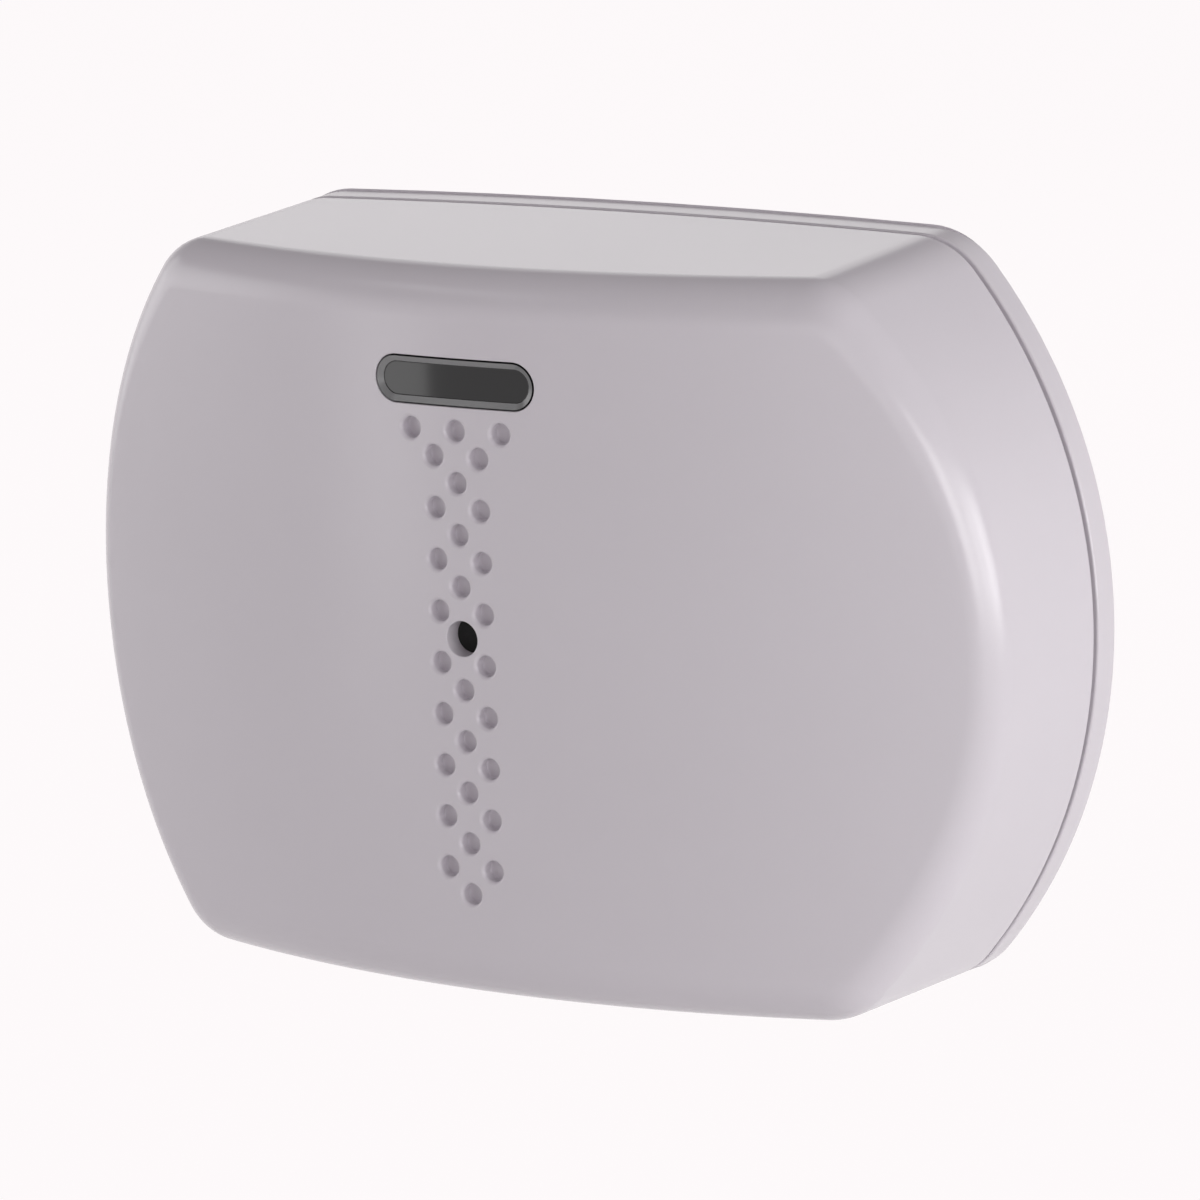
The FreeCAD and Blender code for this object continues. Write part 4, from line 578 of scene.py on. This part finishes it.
def front_cover_skin():
    """The cover's land at the seam, its walls, rounded edge and face, with all openings."""
    skin = Skin()
    form = wall_form()
    inner = wall_form(WALL)
    seam = BAND + SEAM
    land = edge_ring(inner, seam, 0.0, math.pi / 2)
    wall_depths, centres, wall_normals, face_normals = ball_centres(form, EDGE_ROUND)
    rings = [land] + rounded_edge(form, seam, SEAM_ROUND, forwards=False)
    start = seam + SEAM_ROUND
    for i in range(1, WALL_STEPS):
        rings.append(wall_points(form, start + (wall_depths - start) * i / WALL_STEPS))
    for i in range(ROUND_STEPS + 1):
        normals = turned_between(wall_normals, face_normals, i / ROUND_STEPS)
        rings.append((centres + normals * EDGE_ROUND, normals))
    patch = screw_patch(rings)
    numbers = skin.lofted(rings, patch)
    add_screw_recess(skin, numbers, patch)
    holes = [add_dimple(skin, place) for place in dimple_places()]
    holes.append(add_mic_hole(skin))
    holes.append(add_window_slot(skin))
    fill_face(skin, numbers[-1], holes)
    return skin


def screw_patch(rings):
    """Rows and columns of the wall's faces that the screw recess touches."""
    margin = SCREW_RECESS + 2 * HOLE_RIM
    bottom = 2 * SIDE_STEPS + 3 * CORNER_STEPS + TOP_STEPS
    middle = bottom + TOP_STEPS // 2
    depths = [-points[middle][1] for points, _ in rings]
    level = rings[0][0]
    columns = [
        i for i in range(bottom, bottom + TOP_STEPS)
        if abs(level[i][0]) < margin + PATCH_MARGIN
    ]
    rows = [
        i for i in range(len(depths) - 1)
        if depths[i + 1] > SCREW_DEPTH - margin and depths[i] < SCREW_DEPTH + margin
    ]
    return rows, columns


def fill_face(skin, boundary, holes):
    """The bowed face between its rounded edge and the openings."""
    columns = np.arange(-HALF_WIDTH, HALF_WIDTH, FACE_GRID)
    levels = np.arange(-HALF_HEIGHT, HALF_HEIGHT, FACE_GRID)
    grid = [(x, z) for x in columns for z in levels]
    fill_between(
        skin, boundary, holes,
        plane=lambda point: (point[0], point[2]),
        inner_points=grid,
        lift=lambda flat: lifted(flat, np.zeros((len(flat), 2)), 0.0, 0.0),
    )


# Rear base


def rear_base_skin():
    """The base's band, from the rear edge to the land round its tongue."""
    skin = Skin()
    form = wall_form()
    tongue = wall_form(TONGUE_INSET)
    rings = rounded_edge(form, 0.0, REAR_ROUND, forwards=False)
    middle = np.full(len(form[0]), BAND / 2)
    rings.append(wall_points(form, middle))
    rings += rounded_edge(form, BAND, SEAM_ROUND, forwards=True)[::-1]
    rings.append(edge_ring(tongue, BAND, 0.0, -math.pi / 2))
    skin.lofted(rings)
    return skin


# Window


def window_skin():
    """The window's side, small lip, bevel and dished face."""
    skin = Skin()
    rings = [seat_ring(-WINDOW_GAP, -math.pi / 2)]
    for i in range(RIM_STEPS + 1):
        angle = math.pi / 2 * (1 - i / RIM_STEPS)
        sink = WINDOW_RIM - WINDOW_RIM * math.cos(angle)
        rings.append(slot_ring(-WINDOW_GAP - sink, sink, -angle))
    inner = WINDOW_GAP + BEVEL_WIDTH
    lean = math.atan2(BEVEL_DEPTH, BEVEL_WIDTH - WINDOW_RIM)
    rings.append(slot_ring(-WINDOW_GAP - WINDOW_RIM, 0.0, lean))
    rings.append(slot_ring(-inner, BEVEL_DEPTH, lean))
    rings.append(slot_ring(-inner, DISH_DEPTH, lean))
    rings.append(slot_ring(-inner - DISH_ROOT, DISH_DEPTH, 0.0))
    numbers = skin.lofted(rings)
    skin.bevelled = numbers[-4] + numbers[-3]
    columns = np.arange(-WINDOW_LENGTH / 2, WINDOW_LENGTH / 2, WINDOW_GRID)
    levels = WINDOW_Z + np.arange(-WINDOW_HEIGHT / 2, WINDOW_HEIGHT / 2, WINDOW_GRID)
    fill_between(
        skin, numbers[-1], [],
        plane=lambda point: (point[0], point[2]),
        inner_points=[(x, z) for x in columns for z in levels],
        lift=lambda flat: lifted(flat, np.zeros((len(flat), 2)), DISH_DEPTH, 0.0),
    )
    return skin


for name, make_skin, slot, near in (
    ("front_cover", front_cover_skin, "cover_plastic", HOUSING_REACH),
    ("rear_base", rear_base_skin, "base_plastic", HOUSING_REACH),
    ("indicator_window", window_skin, "smoked_window", WINDOW_REACH),
):
    piece = build_piece(name + "_skin", make_skin(), name, near)
    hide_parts(name)
    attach(piece, "housing")


# Materials: colour, roughness, metal or clear share, and how strongly the fine grain shows

SLOT_LOOKS = {
    "cover_plastic": dict(colour=(0.70, 0.66, 0.708), roughness=0.22, grain=0.02),
    "base_plastic": dict(colour=(0.70, 0.66, 0.705), roughness=0.24, grain=0.02),
    "smoked_window": dict(colour=(0.006, 0.0065, 0.007), roughness=0.09, grain=0.0),
    "clear_plastic": dict(colour=(0.85, 0.87, 0.88), roughness=0.08, transmission=0.9),
    "red_light": dict(colour=(0.75, 0.04, 0.03), roughness=0.12, transmission=0.4),
    "green_light": dict(colour=(0.08, 0.55, 0.12), roughness=0.12, transmission=0.4),
    "black_rubber": dict(colour=(0.02, 0.02, 0.02), roughness=0.75, grain=0.05),
    "mesh_cloth": dict(colour=(0.012, 0.012, 0.012), roughness=0.9, grain=0.2),
    "can_metal": dict(colour=(0.72, 0.72, 0.74), roughness=0.28, metallic=1.0, grain=0.02),
    "tin_plate": dict(colour=(0.70, 0.70, 0.70), roughness=0.35, metallic=1.0, grain=0.03),
    "board_laminate": dict(colour=(0.02, 0.16, 0.06), roughness=0.38, grain=0.03),
    "chip_black": dict(colour=(0.022, 0.022, 0.024), roughness=0.55, grain=0.08),
    "switch_black": dict(colour=(0.03, 0.03, 0.03), roughness=0.5, grain=0.05),
    "button_plastic": dict(colour=(0.72, 0.70, 0.64), roughness=0.45, grain=0.03),
    "holder_plastic": dict(colour=(0.035, 0.035, 0.04), roughness=0.5, grain=0.05),
    "cell_sleeve": dict(colour=(0.30, 0.34, 0.40), roughness=0.25, grain=0.02),
    "spring_steel": dict(colour=(0.66, 0.65, 0.62), roughness=0.3, metallic=1.0, grain=0.03),
    "screw_steel": dict(colour=(0.60, 0.60, 0.61), roughness=0.35, metallic=1.0, grain=0.04),
    "antenna_wire": dict(colour=(0.74, 0.52, 0.26), roughness=0.3, metallic=1.0, grain=0.03),
    "ceramic": dict(colour=(0.50, 0.38, 0.25), roughness=0.5, grain=0.05),
}
GRAIN_SIZE = 0.25 * MM
MOTTLE_SIZE = 14.0 * MM
COLOUR_MOTTLE = 0.015
GLOSS_MOTTLE = 0.05
# The bevel's paler grey is painted sheen: it stands in for the light that the bevel reflects. Its
# roughness is the bevel's own finish.
BEVEL_SHEEN_COLOUR = (0.23, 0.23, 0.235)
BEVEL_ROUGHNESS = 0.16


def make_material(name, colour, roughness, metallic=0.0, transmission=0.0, grain=0.0):
    """A plain finish with a slight mottling of its colour and roughness and a fine grain."""
    material = bpy.data.materials.new(name)
    material.use_nodes = True
    tree = material.node_tree
    shader = tree.nodes["Principled BSDF"]
    shader.inputs["Metallic"].default_value = metallic
    shader.inputs["Transmission Weight"].default_value = transmission
    where = tree.nodes.new("ShaderNodeTexCoord")
    mottle = tree.nodes.new("ShaderNodeTexNoise")
    mottle.inputs["Scale"].default_value = 1 / MOTTLE_SIZE
    tree.links.new(where.outputs["Object"], mottle.inputs["Vector"])
    tint = tree.nodes.new("ShaderNodeMix")
    tint.data_type = "RGBA"
    tint.inputs["A"].default_value = [c * (1 - COLOUR_MOTTLE) for c in colour] + [1]
    tint.inputs["B"].default_value = [min(1, c * (1 + COLOUR_MOTTLE)) for c in colour] + [1]
    tree.links.new(mottle.outputs["Fac"], tint.inputs["Factor"])
    tree.links.new(tint.outputs["Result"], shader.inputs["Base Color"])
    gloss = tree.nodes.new("ShaderNodeMapRange")
    gloss.inputs["To Min"].default_value = roughness * (1 - GLOSS_MOTTLE)
    gloss.inputs["To Max"].default_value = roughness * (1 + GLOSS_MOTTLE)
    tree.links.new(mottle.outputs["Fac"], gloss.inputs["Value"])
    tree.links.new(gloss.outputs["Result"], shader.inputs["Roughness"])
    if grain:
        fine = tree.nodes.new("ShaderNodeTexNoise")
        fine.inputs["Scale"].default_value = 1 / GRAIN_SIZE
        tree.links.new(where.outputs["Object"], fine.inputs["Vector"])
        bump = tree.nodes.new("ShaderNodeBump")
        bump.inputs["Strength"].default_value = grain
        bump.inputs["Distance"].default_value = GRAIN_SIZE
        tree.links.new(fine.outputs["Fac"], bump.inputs["Height"])
        tree.links.new(bump.outputs["Normal"], shader.inputs["Normal"])
    return material


def paint_bevel_sheen(material, colour, roughness):
    """Gives the window's bevel a paler grey, which is painted sheen standing in for the lamp light
    it reflects, and a rougher finish than its dished face.
    """
    tree = material.node_tree
    shader = tree.nodes["Principled BSDF"]
    share = tree.nodes.new("ShaderNodeAttribute")
    share.attribute_name = "bevel"
    for socket, value, kind in (
        ("Base Color", (*colour, 1), "RGBA"),
        ("Roughness", roughness, "FLOAT"),
    ):
        mixed = tree.nodes.new("ShaderNodeMix")
        mixed.data_type = kind
        mixed.inputs["B"].default_value = value
        tree.links.new(shader.inputs[socket].links[0].from_socket, mixed.inputs["A"])
        tree.links.new(share.outputs["Fac"], mixed.inputs["Factor"])
        tree.links.new(mixed.outputs["Result"], shader.inputs[socket])


def give_material(piece, material):
    """Makes the material the piece's only one."""
    piece.data.materials.clear()
    piece.data.materials.append(material)


materials = {name: make_material(name, **look) for name, look in SLOT_LOOKS.items()}
# Paints a paler grey sheen on the window's bevel, in place of the light it reflects
paint_bevel_sheen(materials["smoked_window"], BEVEL_SHEEN_COLOUR, BEVEL_ROUGHNESS)
record_slots = {part["node"]: part["material_slot"] for part in frame["record"]["subparts"]}
for node, piece in frame["nodes"].items():
    give_material(piece, materials[record_slots[node]])
for node in ("front_cover", "rear_base", "indicator_window"):
    give_material(bpy.data.objects[node + "_skin"], materials[record_slots[node]])


# Floor, background and lamps, with lamp angles in degrees

MIDDLE = Vector((0.0, -DEPTH / 2, 0.0))
FLOOR_Z = -0.12
FLOOR_SIZE = 30.0
FLOOR_COLOUR = (0.8, 0.79, 0.79, 1.0)
BACKDROP = (1.0, 0.965, 0.974, 1.0)
HORIZON_TOP = math.radians(2)
CEILING_FROM = math.radians(30)
CEILING_GLOW = 0.15
LAMP_DISTANCE = 1.0
SOFTBOX = (0.35, 0.45)
WIDE_BOX = (0.9, 0.8)


def larger_of(tree, first, second):
    """The larger of two values of a node tree."""
    larger = tree.nodes.new("ShaderNodeMath")
    larger.operation = "MAXIMUM"
    tree.links.new(first, larger.inputs[0])
    tree.links.new(second, larger.inputs[1])
    return larger.outputs[0]


def seen_directly(tree, path):
    """One where camera, mirror or see-through rays arrive, else zero."""
    seen = path.outputs["Is Camera Ray"]
    for kind in ("Is Glossy Ray", "Is Transmission Ray"):
        seen = larger_of(tree, seen, path.outputs[kind])
    return seen


def make_world(ambient):
    """Dim even light, white in the picture; mirrored it is white low down and dark above."""
    world = bpy.data.worlds.new("surroundings")
    world.use_nodes = True
    bpy.context.scene.world = world
    tree = world.node_tree
    plain = tree.nodes["Background"]
    plain.inputs["Color"].default_value = BACKDROP
    plain.inputs["Strength"].default_value = ambient
    white = tree.nodes.new("ShaderNodeBackground")
    white.inputs["Color"].default_value = BACKDROP
    where = tree.nodes.new("ShaderNodeTexCoord")
    parts = tree.nodes.new("ShaderNodeSeparateXYZ")
    tree.links.new(where.outputs["Generated"], parts.inputs[0])
    height = tree.nodes.new("ShaderNodeMapRange")
    height.interpolation_type = "SMOOTHSTEP"
    height.inputs["From Min"].default_value = math.sin(HORIZON_TOP)
    height.inputs["From Max"].default_value = math.sin(CEILING_FROM)
    height.inputs["To Min"].default_value = 1.0
    height.inputs["To Max"].default_value = CEILING_GLOW
    tree.links.new(parts.outputs["Z"], height.inputs["Value"])
    path = tree.nodes.new("ShaderNodeLightPath")
    strength = larger_of(tree, height.outputs["Result"], path.outputs["Is Camera Ray"])
    tree.links.new(strength, white.inputs["Strength"])
    mixed = tree.nodes.new("ShaderNodeMixShader")
    tree.links.new(seen_directly(tree, path), mixed.inputs["Fac"])
    tree.links.new(plain.outputs[0], mixed.inputs[1])
    tree.links.new(white.outputs[0], mixed.inputs[2])
    tree.links.new(mixed.outputs[0], tree.nodes["World Output"].inputs["Surface"])


def make_floor(whitening):
    """A pale floor that comes out nearly white in the picture and still takes a soft shadow."""
    bpy.ops.mesh.primitive_plane_add(size=FLOOR_SIZE, location=(0, 0, FLOOR_Z))
    floor = bpy.context.object
    floor.name = "floor"
    material = bpy.data.materials.new("floor")
    material.use_nodes = True
    tree = material.node_tree
    shader = tree.nodes["Principled BSDF"]
    shader.inputs["Base Color"].default_value = FLOOR_COLOUR
    shader.inputs["Roughness"].default_value = 1.0
    glow = tree.nodes.new("ShaderNodeEmission")
    glow.inputs["Color"].default_value = BACKDROP
    share = tree.nodes.new("ShaderNodeMath")
    share.operation = "MULTIPLY"
    share.inputs[1].default_value = whitening
    path = tree.nodes.new("ShaderNodeLightPath")
    tree.links.new(seen_directly(tree, path), share.inputs[0])
    mixed = tree.nodes.new("ShaderNodeMixShader")
    tree.links.new(share.outputs[0], mixed.inputs["Fac"])
    tree.links.new(shader.outputs[0], mixed.inputs[1])
    tree.links.new(glow.outputs[0], mixed.inputs[2])
    tree.links.new(mixed.outputs[0], tree.nodes["Material Output"].inputs["Surface"])
    give_material(floor, material)


def facing_middle(azimuth, elevation, distance, roll=0.0):
    """A place at a distance from the object's middle, turned towards it; angles in radians."""
    back = Vector((
        math.sin(azimuth) * math.cos(elevation),
        -math.cos(azimuth) * math.cos(elevation),
        math.sin(elevation),
    ))
    right = Vector((math.cos(azimuth), math.sin(azimuth), 0.0))
    up = back.cross(right)
    rolled_right = math.cos(roll) * right + math.sin(roll) * up
    rolled_up = -math.sin(roll) * right + math.cos(roll) * up
    place = Matrix((rolled_right, rolled_up, back)).transposed().to_4x4()
    place.translation = MIDDLE + back * distance
    return place


def add_lamp(name, azimuth, power, elevation=0.0, size=SOFTBOX, distance=LAMP_DISTANCE):
    """A rectangular lamp that looks at the object's middle from the given side."""
    data = bpy.data.lights.new(name, "AREA")
    data.shape = "RECTANGLE"
    data.size, data.size_y = size
    data.energy = power
    lamp = bpy.data.objects.new(name, data)
    bpy.context.scene.collection.objects.link(lamp)
    lamp.matrix_world = facing_middle(math.radians(azimuth), math.radians(elevation), distance)


bpy.context.scene.view_settings.view_transform = "Standard"
make_world(ambient=0.36)
make_floor(whitening=0.97)
add_lamp("front", azimuth=20, power=0.6, size=(0.5, 0.5))
add_lamp("right_front", azimuth=60, power=1.8, size=(0.25, 0.45))
add_lamp("right_middle", azimuth=75, power=1.3)
add_lamp("right", azimuth=90, power=1.55)
add_lamp("right_rear", azimuth=105, power=2.15)
add_lamp("left_front", azimuth=-60, power=0.8, size=WIDE_BOX)
add_lamp("left", azimuth=-80, elevation=5, power=2.3, size=WIDE_BOX)
add_lamp("rear", azimuth=180, elevation=15, power=1.4)
add_lamp("rear_left", azimuth=-147, elevation=25, power=0.4)

# A small low lamp that the window's left part mirrors, and a strip for its lower bevel

add_lamp(
    "window_light", azimuth=-41.4, elevation=-6.6, power=0.034, size=(0.09, 0.08), distance=0.47
)
add_lamp("window_strip", azimuth=-50, elevation=46, power=0.18, size=(0.36, 0.12))


# Camera at the photograph's viewing angle

AZIMUTH = math.radians(32.788)
ELEVATION = math.radians(12.130)
ROLL = math.radians(-2.013)
DISTANCE = 695.60 * MM
LENS_MM = 201.37
SENSOR_MM = 36.0
SHIFT = (0.03657, 0.00546)


def make_camera():
    """The camera of the main picture."""
    data = bpy.data.cameras.new("camera")
    data.sensor_width = SENSOR_MM
    data.lens = LENS_MM
    data.shift_x, data.shift_y = SHIFT
    camera = bpy.data.objects.new("camera", data)
    bpy.context.scene.collection.objects.link(camera)
    camera.matrix_world = facing_middle(AZIMUTH, ELEVATION, DISTANCE, ROLL)
    bpy.context.scene.camera = camera


make_camera()
